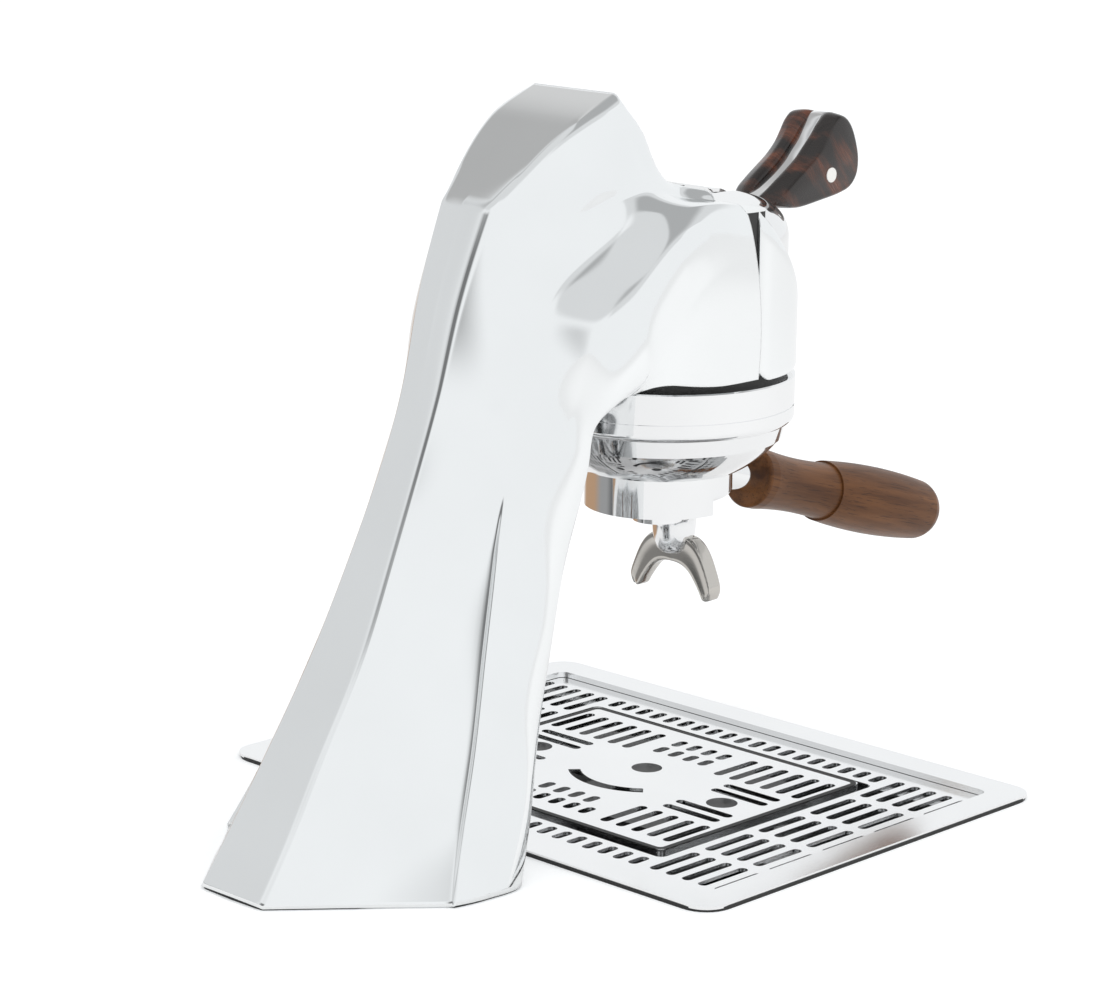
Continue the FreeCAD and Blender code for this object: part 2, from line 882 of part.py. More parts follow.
def dome(radius, low, top, round_radius):
    """The round of the hood: a cylinder whose top edge is a quarter round."""
    axis = vec(0, axis_y, 0)
    r, z0, z1, c = float(radius), float(low), float(top), float(round_radius)
    a, b = FreeCAD.Vector(r, 0, z0), FreeCAD.Vector(r, 0, z1 - c)
    mid = FreeCAD.Vector(r - c + c * math.cos(math.pi / 4), 0, z1 - c + c * math.sin(math.pi / 4))
    d, e, f = FreeCAD.Vector(r - c, 0, z1), FreeCAD.Vector(0, 0, z1), FreeCAD.Vector(0, 0, z0)
    edges = [Part.makeLine(a, b), Part.Arc(b, mid, d).toShape(), Part.makeLine(d, e),
             Part.makeLine(e, f), Part.makeLine(f, a)]
    solid = Part.Face(Part.Wire(edges)).revolve(FreeCAD.Vector(), FreeCAD.Vector(0, 0, 1), 360)
    solid.translate(axis)
    return solid


def tower_solid(wall):
    """The outside of the casting, or its inside where a wall is given."""
    levels = column_sections(wall)
    crown = crown_section(wall)
    crest = upright_section(crest_y, s.crest_height, s.crest_half, wall)
    column = Part.makeLoft(levels[:4], True, False)
    neck = Part.makeLoft(levels[3:] + [crown], True, False)
    head = Part.makeLoft([crown, crest], True, True)
    slope = Part.makeLoft([crest, slope_section(wall)], True, True)
    shoulders = Part.makeLoft(hood_sections(wall), True, True)
    return column.fuse([neck, head, slope, shoulders])


def foot_prism(wall, low, high):
    """The casting's foot outline, moved in by a wall, as a plate between two heights."""
    wire = station(0, low, 0, FOOT, wall)
    return feature(Part.Face(wire).extrude(vec(0, 0, float(high) - float(low))))


def wedge(points, half):
    """A profile in the middle plane, carried the same way out to both sides."""
    wire = Part.makePolygon([vec(-half, y, z) for y, z in points + points[:1]])
    return feature(Part.Face(wire).extrude(vec(half * 2, 0, 0)))


def hose(radius, points, bend):
    """A round tube along straight runs joined by tangent bends."""
    stops = [vec(*p) for p in points]
    edges = []
    start = stops[0]
    for before, corner, after in zip(stops, stops[1:], stops[2:]):
        into = (corner - before).normalize()
        out = (after - corner).normalize()
        turn = math.acos(max(-1.0, min(1.0, into.dot(out))))
        back = float(bend) * math.tan(turn / 2)
        first, last = corner - into * back, corner + out * back
        middle = corner + (out - into).normalize() * (float(bend) / math.cos(turn / 2) - float(bend))
        edges += [Part.makeLine(start, first), Part.Arc(first, middle, last).toShape()]
        start = last
    edges.append(Part.makeLine(start, stops[-1]))
    ring = Part.Wire(Part.makeCircle(float(radius), stops[0], stops[1] - stops[0]))
    return feature(Part.Wire(edges).makePipeShell([ring], True, False))


def coil(wire, radius, height, turns, x=0.0, y=0.0, z=0.0, way="up"):
    """A helical spring of half-turn arcs, whose ends lie within its height."""
    wire, radius = float(wire), float(radius)
    run = float(height) - 2.2 * wire
    halves = 2 * round(float(turns))
    edges = []
    for half in range(halves):
        points = []
        for share in (0, 0.5, 1):
            angle = math.pi * (half + share)
            rise = run * (half + share) / halves
            points.append(FreeCAD.Vector(radius * math.cos(angle), radius * math.sin(angle), rise))
        edges.append(Part.Arc(*points).toShape())
    ring = Part.makeCircle(wire, FreeCAD.Vector(radius, 0, 0), edges[0].tangentAt(edges[0].FirstParameter))
    item = feature(Part.Wire(edges).makePipeShell([Part.Wire(ring)], True, False))
    item.Placement = FreeCAD.Placement(vec(x, y, z), TURNS[way]).multiply(
        FreeCAD.Placement(FreeCAD.Vector(0, 0, 1.1 * wire), TURNS["up"]))
    return item


def slots(places, top, depth):
    """Cutters for round-ended slots: (x, y, length, width, runs along X)."""
    made = []
    for x, y, length, width, along in places:
        r = float(width) / 2
        run = float(length) / 2 - r
        a, b = FreeCAD.Vector(-run, -r, 0), FreeCAD.Vector(run, -r, 0)
        c, d = FreeCAD.Vector(run, r, 0), FreeCAD.Vector(-run, r, 0)
        edges = [Part.makeLine(a, b), Part.Arc(b, FreeCAD.Vector(run + r, 0, 0), c).toShape(),
                 Part.makeLine(c, d), Part.Arc(d, FreeCAD.Vector(-run - r, 0, 0), a).toShape()]
        solid = Part.Face(Part.Wire(edges)).extrude(vec(0, 0, depth))
        if not along:
            solid.rotate(FreeCAD.Vector(), FreeCAD.Vector(0, 0, 1), 90)
        solid.translate(vec(x, y, dim(top) - depth))
        made.append(solid)
    return feature(Part.makeCompound(made))


def drills(places, radius, low, depth):
    """Upright drills at many places as one cutter."""
    made = [Part.makeCylinder(float(radius), float(depth), vec(x, y, low)) for x, y in places]
    return feature(Part.makeCompound(made))


def rings_of(radii, pitch):
    """Places on rings about the middle, about one pitch apart."""
    places = [(0.0, 0.0)]
    for radius in radii:
        count = int(2 * math.pi * radius / pitch)
        places += [(radius * math.cos(2 * math.pi * k / count), radius * math.sin(2 * math.pi * k / count))
                   for k in range(count)]
    return places


def sector(inner, outer, low, high, angle, half):
    """Part of a ring about the upright axis, centred on an angle."""
    whole = rod(outer, dim(high) - low, 0, 0, low)
    bind(whole, "Angle", dim(half) * 2)
    whole.Placement.Rotation = FreeCAD.Rotation(FreeCAD.Vector(0, 0, 1), float(angle) - float(half))
    core = rod(inner, dim(high) - low, 0, 0, low)
    return cut(whole, core)


def rounded(half_x, half_y, corner, low, high, x=0.0, y=0.0):
    """A block with round upright corners, as a sketched body."""
    owner = body("block")
    pad(owner, sketch(owner, "top", [box_loop(half_x, half_y, x, y, corner)], height=low), dim(high) - low)
    return owner


def nut(across, height, x=0.0, y=0.0, z=0.0):
    """A hexagon block."""
    item = doc.addObject("Part::Prism", "nut")
    item.Polygon = 6
    bind(item, "Circumradius", across)
    bind(item, "Height", height)
    return place(item, x, y, z)


# Tower base
gasket = s.base_gasket_thickness
plate = s.base_plate_thickness
half_x = s.counter_bolt_spacing_x / 2
half_y = s.counter_bolt_spacing_y / 2
counter_bolts = [(x, y) for x in (-half_x, half_x) for y in (-half_y, half_y)]
boss_places = [(-s.shell_boss_front_half, s.shell_boss_front), (s.shell_boss_front_half, s.shell_boss_front),
               (-s.shell_boss_back_half, s.shell_boss_back), (s.shell_boss_back_half, s.shell_boss_back)]
inset_by = float(s.shell_wall)
node("base_gasket", cut(foot_prism(float(s.base_gasket_inset), 0, gasket), foot_prism(inset_by, 0, gasket)))
holes = [rod(s.counter_bolt_hole_radius, plate, x, y) for x, y in counter_bolts]
holes += [rod(s.shell_screw_radius, plate, x, y) for x, y in boss_places]
holes += [rod(s.shell_screw_head_radius, s.shell_screw_head_height, x, y) for x, y in boss_places]
holes += [rod(s.fitting_radius + s.fitting_step, plate, x, 0) for x in (-s.fitting_half, s.fitting_half)]
holes.append(rod(s.gland_radius + s.fitting_step, plate, 0, s.gland_back))
rise = plate / s.shin_height
PLATE_TOP = [(low_half + (high_half - low_half) * rise, low + (high - low) * rise)
             for (low_half, low), (high_half, high) in zip(FOOT, SHIN)]
slack = inset_by + float(s.base_plate_gap)
tapered = Part.makeLoft([station(0, 0, 0, FOOT, slack), station(0, plate, 0, PLATE_TOP, slack)], True, True)
node("base_plate", cut(feature(tapered), *holes))
screw_places = [(x, y, s.shell_screw_head_height) for x, y in boss_places]
node("shell_screws", screws(s.shell_screw_radius, s.shell_screw_length, s.shell_screw_head_radius,
                            s.shell_screw_head_height, screw_places, "up"))
for label, x, y, radius, bore in (("inlet_fitting", -s.fitting_half, 0, s.fitting_radius, s.tube_radius),
                                  ("drain_fitting", s.fitting_half, 0, s.fitting_radius, s.tube_radius),
                                  ("cable_gland", 0, s.gland_back, s.gland_radius, s.cable_radius)):
    shank = rod(radius, s.fitting_length, x, y, -s.fitting_length)
    neck = rod(radius + s.fitting_step, plate, x, y)
    collar = nut(s.fitting_nut_radius, s.fitting_nut_height, x, y, plate)
    bore = rod(bore, s.fitting_length + plate + s.fitting_nut_height, x, y, -s.fitting_length)
    node(label, cut(fuse(shank, neck, collar), bore))


# Tower casting
def tower_shell():
    """The casting: smooth outside, hollow inside, open below, in front and over the group."""
    outer = tower_solid(0.0).fuse(dome(s.hood_radius, s.hood_bottom, s.hood_top, s.hood_shoulder))
    inner = tower_solid(inset_by)
    group_room = dome(s.hood_radius - s.hood_wall, s.hood_bottom - 1, s.hood_top - s.hood_wall,
                      s.hood_shoulder - s.hood_wall)
    front = [(-s.hood_radius, s.hood_bottom), (s.hood_front_edge, s.hood_bottom),
             (s.hood_front_edge, s.hood_cut_low), (s.hood_cut_mid_back, s.hood_cut_mid),
             (s.hood_cut_top_back, s.hood_top), (-s.hood_radius, s.hood_top)]
    open_front = wedge([(axis_y + y, z) for y, z in front], s.hood_radius)
    open_top = span(-s.hood_slot_half, s.hood_slot_half, axis_y, axis_y + s.hood_slot_back,
                    s.cap_tongue_bottom, s.hood_top)
    doc.recompute()
    hollow = outer.cut([inner, group_room, open_front.Shape, open_top.Shape])
    bosses = [Part.makeCylinder(float(s.shell_boss_radius), float(s.shell_boss_height), vec(x, y, plate))
              for x, y in boss_places]
    solid = hollow.fuse([boss.common(outer) for boss in bosses])
    for item in (open_front, open_top):
        doc.removeObject(item.Name)
    return solid.removeSplitter()


floor = s.hood_bottom + s.shell_wall
foot_bolt_back = s.valve_back + s.valve_side / 2 + s.bracket_bolt_head + s.bracket_bolt_gap
drilled = [rod(s.shell_screw_radius, s.shell_screw_length, x, y, z) for x, y, z in screw_places]
drilled += [rod(s.bracket_bolt_radius, s.bracket_foot_bolt_length, x, axis_y + foot_bolt_back,
                floor + s.bracket_plate - s.bracket_foot_bolt_length)
            for x in (-s.bracket_bolt_half, s.bracket_bolt_half)]
drilled += [rod(s.small_screw_radius, s.small_screw_length, x, axis_y + s.bridge_screw_back,
                s.hood_top - s.hood_wall)
            for x in (-s.small_screw_half, s.small_screw_half)]
node("tower_shell", cut(feature(tower_shell()), *drilled))

# Group head: block, rings and seals, drawn about the group axis
ring_top = s.seam_height + s.upper_ring_height
flange_top = ring_top + s.flange_height
boss_low = s.seam_height - s.group_boss_drop
seat = s.seam_height - s.gasket_seat_drop
shower_face = boss_low + s.shower_face_rise
screen_room = s.screen_outer + s.screen_gap
gasket_room = s.gasket_outer + s.fit_gap
bolt_angles = [math.radians(a) for a in range(30, 390, 60)]
bolt_places = [(s.group_bolt_circle * math.cos(a), s.group_bolt_circle * math.sin(a)) for a in bolt_angles]
bolt_holes = [rod(s.group_bolt_radius, s.group_bolt_length, x, y, flange_top - s.group_bolt_length)
              for x, y in bolt_places]
gasket_bottom = seat - s.gasket_thickness
block = turned("block_turn", [
    (0, shower_face), (screen_room, shower_face), (screen_room, seat),
    (gasket_room, seat), (gasket_room, boss_low), (s.block_radius, boss_low),
    (s.block_radius, ring_top), (s.flange_radius, ring_top), (s.flange_radius, flange_top),
    (s.block_radius, flange_top), (s.block_radius, s.block_top), (0, s.block_top)], name_it=False)
heaters = [(x, s.heater_back) for x in (-s.heater_half, s.heater_half)]
tube_places = [-s.fitting_half, s.fitting_half]
shaft_z = s.pivot_height
upright_bolts = [(x, s.block_rear_flat) for x in (-s.bracket_bolt_half, s.bracket_bolt_half)]
ears_y = -s.pivot_front
bracket_screw_places = [(x, ears_y) for x in (-s.small_screw_half, s.small_screw_half)]
block_cuts = [span(-s.block_radius, s.block_radius, s.block_rear_flat, s.block_radius + 1,
                   flange_top, s.block_top)]
block_cuts += [rod(s.heater_radius, s.heater_length, x, y, s.block_top - s.heater_length) for x, y in heaters]
block_cuts += [rod(s.probe_radius, s.probe_length, 0, s.probe_offset, s.block_top - s.probe_length)]
block_cuts += [rod(s.tube_radius, s.tube_depth, x, s.block_rear_flat - s.tube_depth, s.tube_end_height,
                   "back") for x in tube_places]
block_cuts += [rod(s.bracket_bolt_radius, s.bracket_bolt_depth, x, y - s.bracket_bolt_depth,
                   s.bracket_upright_bolt_height, "back") for x, y in upright_bolts]
screw_in_block = screen_bottom + s.screen_screw_length - shower_face
block_cuts += [rod(s.screen_screw_radius, screw_in_block, 0, 0, shower_face)]
block_cuts += [rod(s.small_screw_radius, s.small_screw_length, x, y,
                   s.block_top + s.ear_thickness - s.small_screw_length) for x, y in bracket_screw_places]
node("group_block", cut(block, *block_cuts, *bolt_holes), axis_y)
node("group_bolts", screws(s.group_bolt_radius, s.group_bolt_length, s.group_bolt_head,
                           s.group_bolt_head_height, [(x, y, flange_top) for x, y in bolt_places]), axis_y)
bore = s.block_radius + s.fit_gap
groove = s.upper_ring_groove
ring = turned("ring_turn", [
    (bore, s.seam_height), (s.ring_radius - groove, s.seam_height),
    (s.ring_radius - groove, s.seam_height + groove), (s.ring_radius, s.seam_height + groove),
    (s.ring_radius, ring_top - groove), (s.ring_radius - groove, ring_top), (bore, ring_top)], name_it=False)
node("upper_ring", cut(ring, *bolt_holes), axis_y)
ring_ledge = s.seam_height - s.ring_ledge_drop
lower = turned("lower_turn", [
    (s.bayonet_mouth, bowl_mouth), (s.bowl_mouth_radius, bowl_mouth, s.bowl_round),
    (s.ledge_radius - s.ledge_step, ring_ledge - s.ledge_step), (s.ledge_radius, ring_ledge),
    (s.ring_radius - s.ring_round, s.seam_height - s.ring_lip_height - s.ring_round, s.ring_round),
    (s.ring_radius, s.seam_height - s.ring_lip_height), (s.ring_radius, s.seam_height),
    (s.bayonet_chamber, s.seam_height), (s.bayonet_chamber, shelf),
    (s.bayonet_mouth, shelf)], name_it=False)
gaps = [sector(s.bayonet_mouth - 1, s.bayonet_chamber, bowl_mouth, shelf,
               dim(quarter) - s.unlock_angle, s.lug_half_angle + s.lug_gap_angle) for quarter in (90, 270)]
node("bayonet_ring", cut(lower, *gaps, *bolt_holes), axis_y)
turned("ring_seal", tube_profile(s.flange_radius, s.seal_outer, ring_top, s.seal_top), y=axis_y)
turned("group_gasket", tube_profile(s.gasket_inner, s.gasket_outer, gasket_bottom, seat), y=axis_y)
screen_in = s.screen_outer - s.screen_sheet
screen_floor = screen_bottom + s.screen_sheet
diffuser_low = screen_floor + s.diffuser_gap
screw_bore = rod(s.screen_screw_radius, s.screen_screw_length, 0, 0, screen_bottom)
diffuser = turned("diffuser_turn", [(0, diffuser_low), (screen_in, diffuser_low), (screen_in, shower_face),
                                    (0, shower_face)], name_it=False)
node("diffuser_block", cut(diffuser, screw_bore), axis_y)
screen = turned("screen_turn", [
    (0, screen_bottom), (s.screen_outer, screen_bottom), (s.screen_outer, shower_face),
    (screen_in, shower_face), (screen_in, screen_floor), (0, screen_floor)], name_it=False)
SIEVE_RADII = [8.5, 12.5, 16.5, 20.5, 24.0]
SIEVE_PITCH = 4.2
sieve = rings_of(SIEVE_RADII, SIEVE_PITCH)[1:]
sieve_drills = drills(sieve, s.screen_hole_radius, screen_bottom - 1, 3)
node("shower_screen", cut(screen, screw_bore, sieve_drills), axis_y)
stem = rod(s.screen_screw_radius, s.screen_screw_length, 0, 0, screen_bottom)
head = cone(s.screen_screw_head * 0.8, s.screen_screw_head, s.screen_screw_head_height, 0, 0,
            screen_bottom - s.screen_screw_head_height)
node("screen_screw", fuse(stem, head), axis_y)
heater = [fuse(rod(s.heater_radius, s.heater_length, x, y, s.block_top - s.heater_length),
               rod(s.heater_collar_radius, s.heater_collar_height, x, y, s.block_top)) for x, y in heaters]
node("heater_cartridges", group(*heater), axis_y)
node("temperature_probe", fuse(
    rod(s.probe_radius, s.probe_length, 0, s.probe_offset, s.block_top - s.probe_length),
    nut(s.probe_head_radius, s.probe_head_height, 0, s.probe_offset, s.block_top)), axis_y)

# Bracket that ties the group to the floor of the tower's neck
rear = s.block_rear_flat
foot_top = floor + s.bracket_plate
foot = span(-s.bracket_half, s.bracket_half, rear, s.bracket_rear, floor, foot_top)
upright = span(-s.bracket_half, s.bracket_half, rear, rear + s.bracket_plate, floor, s.bracket_upright_top)
foot_bolts = [(x, foot_bolt_back) for x in (-s.bracket_bolt_half, s.bracket_bolt_half)]
bracket_cuts = [rod(s.bracket_bolt_radius, s.bracket_plate, x, y, floor) for x, y in foot_bolts]
bracket_cuts += [rod(s.bracket_bolt_radius, s.bracket_plate, x, y, s.bracket_upright_bolt_height, "back")
                 for x, y in upright_bolts]
node("group_bracket", cut(fuse(foot, upright), *bracket_cuts), axis_y)
bolts = []
for x, y in foot_bolts:
    bolts.append(fuse(
        rod(s.bracket_bolt_radius, s.bracket_foot_bolt_length, x, y, foot_top - s.bracket_foot_bolt_length),
        rod(s.bracket_bolt_head, s.bracket_bolt_head_height, x, y, foot_top)))
for x, y in upright_bolts:
    behind = y + s.bracket_plate
    bolts.append(fuse(
        rod(s.bracket_bolt_radius, s.bracket_bolt_depth + s.bracket_plate, x, y - s.bracket_bolt_depth,
            s.bracket_upright_bolt_height, "back"),
        rod(s.bracket_bolt_head, s.bracket_bolt_head_height, x, behind, s.bracket_upright_bolt_height,
            "back")))
node("bracket_bolts", group(*bolts), axis_y)

# Three-way valve on the bracket
valve_y = s.valve_back
valve_top = foot_top + s.valve_body_height
seat_z = valve_top - s.plunger_seat_drop
bore = s.plunger_radius + s.plunger_clearance
valve = slab(s.valve_side, s.valve_side, s.valve_body_height, 0, valve_y, foot_top)
node("solenoid_body", cut(valve, rod(bore, s.plunger_seat_drop, 0, valve_y, seat_z)), axis_y)
spring_low = seat_z + s.plunger_length
coil_bore = spring_low + s.valve_spring_length - valve_top
node("solenoid_coil", cut(rod(s.coil_radius, s.coil_height, 0, valve_y, valve_top),
                          rod(bore, coil_bore, 0, valve_y, valve_top)), axis_y)
node("solenoid_plunger", rod(s.plunger_radius, s.plunger_length, 0, axis_y + valve_y, seat_z))
node("plunger_spring", coil(s.valve_spring_wire, s.plunger_radius - 1, s.valve_spring_length, s.spring_turns,
                            0, axis_y + valve_y, spring_low))

# Tubes and heater cable, from the base up the column to the group
arch_back = s.arch_axis_back
climb = [(s.reach, plate), (s.reach, 24), (s.reach - 15, 70), (s.reach - 45, 130), (arch_back + 52, 190),
         (arch_back + 32, 235), (arch_back + 12, 250)]
for label, x in (("feed_tube", tube_places[0]), ("drain_tube", tube_places[1])):
    route = [(x, y, z) for y, z in climb]
    route += [(x, rear + 14, s.tube_end_height), (x, rear - s.tube_depth, s.tube_end_height)]
    node(label, hose(s.tube_radius, route, s.tube_bend), axis_y)
gland_y = s.reach + s.gland_back
loom = [(0, gland_y, plate), (0, gland_y, 26), (0, s.reach, 60), (0, s.reach - 30, 130),
        (0, arch_back + 67, 190), (0, arch_back + 50, 240), (0, arch_back + 19, 282),
        (0, arch_back - 28, 282), (0, s.heater_back + 24, 262), (0, s.heater_back, s.loom_end_height)]
lead_top = s.block_top + s.heater_collar_height
leads = [hose(s.lead_radius, [(0, s.heater_back, s.loom_end_height), (0, s.heater_back, s.lead_height),
                              (x, s.heater_back, s.lead_height), (x, s.heater_back, lead_top)], s.lead_bend)
         for x, y in heaters]
node("heater_cable", fuse(hose(s.cable_radius, loom, s.cable_bend), *leads), axis_y)

# Covers round the group
liner_in = s.liner_outer - s.liner_wall
liner = turned("liner_turn", tube_profile(liner_in, s.liner_outer, flange_top, s.liner_top), name_it=False)
window = span(-s.liner_window_half, s.liner_window_half, 0, s.hood_radius, flange_top, s.liner_top)
node("inner_liner", cut(liner, window), axis_y)
rib_high = s.nose_rib_low + s.nose_rib_height
nose = turned("nose_turn", [
    (s.liner_outer, s.nose_rib_low), (s.nose_inner, s.nose_rib_low), (s.nose_inner, s.nose_bottom),
    (s.hood_radius - s.nose_foot_round, s.nose_bottom, s.nose_foot_round),
    (s.hood_radius, s.nose_bottom + s.nose_foot_round), (s.hood_radius, s.hood_top),
    (s.nose_inner, s.hood_top), (s.nose_inner, rib_high), (s.liner_outer, rib_high)], name_it=False)
edge_z = s.nose_slope_height + s.nose_slope * s.nose_rear_edge
tip_z = s.nose_slope_height - s.nose_slope * (s.hood_radius + 2)
keep = wedge([(s.nose_rear_edge, s.nose_bottom), (s.nose_rear_edge, edge_z), (-s.hood_radius - 2, tip_z),
              (-s.hood_radius - 2, s.nose_bottom)], s.hood_radius)
node("nose_cover", common(nose, keep), axis_y)
cap_in = s.cap_radius - s.cap_wall
cap_edge = s.cap_top - s.cap_round
cap = turned("cap_turn", [
    (cap_in, s.cap_bottom), (s.cap_radius, s.cap_bottom), (s.cap_radius, cap_edge, s.cap_round),
    (s.cap_radius - s.cap_round, s.cap_top), (0, s.cap_top), (0, s.cap_top - s.cap_wall),
    (s.cap_radius - s.cap_round, s.cap_top - s.cap_wall, -(s.cap_round - s.cap_wall)),
    (cap_in, cap_edge), (s.cap_rim_inner, cap_edge),
    (s.cap_rim_inner, s.liner_top), (cap_in, s.liner_top)], name_it=False)
cap_r, tongue_low = s.cap_radius, s.cap_tongue_bottom
behind = [span(-cap_r, cap_r, s.cap_rear_edge, cap_r, s.cap_bottom, tongue_low),
          span(-cap_r, -s.cap_tongue_half, s.cap_rear_edge, cap_r, tongue_low, s.cap_top),
          span(s.cap_tongue_half, cap_r, s.cap_rear_edge, cap_r, tongue_low, s.cap_top),
          span(-cap_r, cap_r, s.cap_tongue_back, cap_r, s.cap_bottom, s.cap_top),
          span(-s.cap_slot_half, s.cap_slot_half, -s.cap_slot_front, -s.cap_slot_back,
               s.liner_top, s.cap_top)]
node("top_cap", cut(cap, *behind), axis_y)
bridge = wedge([(-s.bridge_front, s.bridge_bottom), (s.bridge_step_back, s.bridge_bottom),
                (s.bridge_step_back, s.hood_top), (s.bridge_back, s.hood_top), (s.bridge_back, s.bridge_top),
                (s.bridge_chamfer - s.bridge_front, s.bridge_top)], s.bridge_half)
bridge_screws = [(x, s.bridge_screw_back) for x in (-s.small_screw_half, s.small_screw_half)]
hood_ceiling = s.hood_top - s.hood_wall
node("bridge_plate", cut(bridge, *[rod(s.small_screw_radius, s.small_screw_length, x, y, hood_ceiling)
                                   for x, y in bridge_screws]), axis_y)
held_up = screws(s.small_screw_radius, s.small_screw_length, s.small_screw_head, s.small_screw_head_height,
                 [(x, y, hood_ceiling) for x, y in bridge_screws], "up")
held_down = screws(s.small_screw_radius, s.small_screw_length, s.small_screw_head, s.small_screw_head_height,
                   [(x, y, s.block_top + s.ear_thickness) for x, y in bracket_screw_places])
node("small_screws", group(held_up, held_down), axis_y)

# Paddle: bracket, shaft and lever, about the pivot behind the cap's slot
ears = [fuse(span(x, x + s.ear_thickness, ears_y - s.ear_half_width, ears_y + s.ear_half_width,
                  s.block_top, shaft_z),
             rod(s.ear_half_width, s.ear_thickness, x, ears_y, shaft_z, "right"))
        for x in (-s.ear_inner_half - s.ear_thickness, s.ear_inner_half)]
ear_foot = span(-s.ear_inner_half, s.ear_inner_half, ears_y - s.ear_half_width, ears_y + s.ear_half_width,
                s.block_top, s.block_top + s.ear_thickness)
ear_reach = s.ear_inner_half + s.ear_thickness
node("paddle_bracket", cut(fuse(ear_foot, *ears),
                           rod(s.bush_radius, ear_reach * 2, -ear_reach, ears_y, shaft_z, "right"),
                           *[rod(s.small_screw_radius, s.ear_thickness, x, y, s.block_top)
                             for x, y in bracket_screw_places]), axis_y)
bushes = []
for outer_x, inner_x in ((-ear_reach, -s.ear_inner_half), (s.ear_inner_half, ear_reach)):
    flange_x = inner_x if float(outer_x) < 0 else outer_x - s.bush_flange
    sleeve = fuse(rod(s.bush_radius, s.ear_thickness, outer_x, ears_y, shaft_z, "right"),
                  rod(s.bush_radius + 1, s.bush_flange, flange_x, ears_y, shaft_z, "right"))
    bushes.append(cut(sleeve, rod(s.pivot_radius + s.pivot_clearance, s.ear_thickness * 2,
                                  outer_x - s.bush_flange * 2, ears_y, shaft_z, "right")))
node("paddle_bushes", group(*bushes), axis_y)
shaft_half = ear_reach + s.shaft_proud
node("pivot_shaft", rod(s.pivot_radius, shaft_half * 2, -shaft_half, axis_y + ears_y, shaft_z, "right"))


def underside(front):
    """The height of the paddle's straight underside at a distance in front of the group axis."""
    share = (front - s.paddle_chin_front) / (s.paddle_heel_front - s.paddle_chin_front)
    return s.paddle_chin_height + (heel_height - s.paddle_chin_height) * share


heel_height = s.paddle_top_height - s.paddle_heel_drop
nose_height = s.paddle_top_height - s.paddle_nose_drop
back_mid_height = underside(s.paddle_back_mid_front) + s.paddle_waist
pin_height = underside(s.paddle_pin_front) + s.paddle_pin_rise
scale_low = underside(s.scale_root_front) - s.scale_root_drop
scale_high = back_mid_height - s.scale_root_step
lever = body("lever")
pad(lever, sketch(lever, "side", [[
    (-s.pivot_front, s.pivot_height - s.hub_radius, s.hub_radius),
    (s.hub_radius - s.pivot_front, s.pivot_height),
    (-s.paddle_root_front + s.paddle_root_depth, s.paddle_root_height),
    (-s.paddle_back_low_front, s.paddle_back_low_height),
    (-s.paddle_back_mid_front, back_mid_height), (-s.paddle_top_front, s.paddle_top_height),
    (-s.paddle_crown_front, s.paddle_top_height, s.paddle_top_round),
    (-s.paddle_nose_front, nose_height, s.paddle_nose_round),
    (-s.paddle_heel_front, heel_height), (-s.paddle_chin_front, s.paddle_chin_height)]]),
    s.spine_half * 2, both_ways=True)
shaft_bore = rod(s.pivot_radius, s.spine_half * 2, -s.spine_half, ears_y, shaft_z, "right")
pin_bore = rod(s.paddle_pin_radius, s.spine_half * 2, -s.spine_half, -s.paddle_pin_front, pin_height, "right")
node("paddle_spine", cut(lever, shaft_bore, pin_bore), axis_y)
scale_out = s.spine_half + s.scale_thickness
for label, near, far in (("paddle_scale_left", -scale_out, -s.spine_half),
                         ("paddle_scale_right", s.spine_half, scale_out)):
    grip = body(f"{label}_grip")
    middle = (near + far) / 2
    pad(grip, sketch(grip, "side", [[
        (-s.scale_root_front, scale_low), (-s.scale_root_front, scale_high),
        (-s.paddle_back_mid_front, back_mid_height), (-s.paddle_top_front, s.paddle_top_height),
        (-s.paddle_crown_front, s.paddle_top_height, s.paddle_top_round),
        (-s.paddle_nose_front, nose_height, s.paddle_nose_round),
        (-s.paddle_heel_front, heel_height)]], height=middle), s.scale_thickness, both_ways=True)
    tall = s.paddle_top_height + 1
    toward = 1 if float(near) > 0 else -1
    outer_x = s.spine_half + s.scale_thickness
    bevel = [(outer_x - s.scale_bevel, tall), (outer_x + 1, tall), (outer_x + 1, back_mid_height)]
    face = Part.makePolygon([vec(x * toward, -s.paddle_crown_front, z) for x, z in bevel + bevel[:1]])
    run = vec(0, s.paddle_crown_front - s.scale_root_front + 10, 0)
    sweep = feature(Part.Face(face).extrude(run))
    node(label, cut(grip, sweep, rod(s.paddle_pin_radius, s.scale_thickness, near, -s.paddle_pin_front,
                                     pin_height, "right")), axis_y)
node("paddle_pin", rod(s.paddle_pin_radius, scale_out * 2 + s.paddle_pin_proud * 2,
                       -scale_out - s.paddle_pin_proud, axis_y - s.paddle_pin_front, pin_height, "right"))
spring_room = s.ear_inner_half - s.bush_flange - s.spine_half
node("return_spring", coil(s.return_wire, s.return_radius, spring_room - s.spring_gap, s.return_turns,
                           s.spine_half + s.spring_gap, axis_y + ears_y, shaft_z, "right"))
node("position_sensor", span(-s.sensor_width / 2, s.sensor_width / 2, axis_y - s.sensor_front,
                             axis_y + s.sensor_depth - s.sensor_front, s.block_top,
                             s.block_top + s.sensor_height))

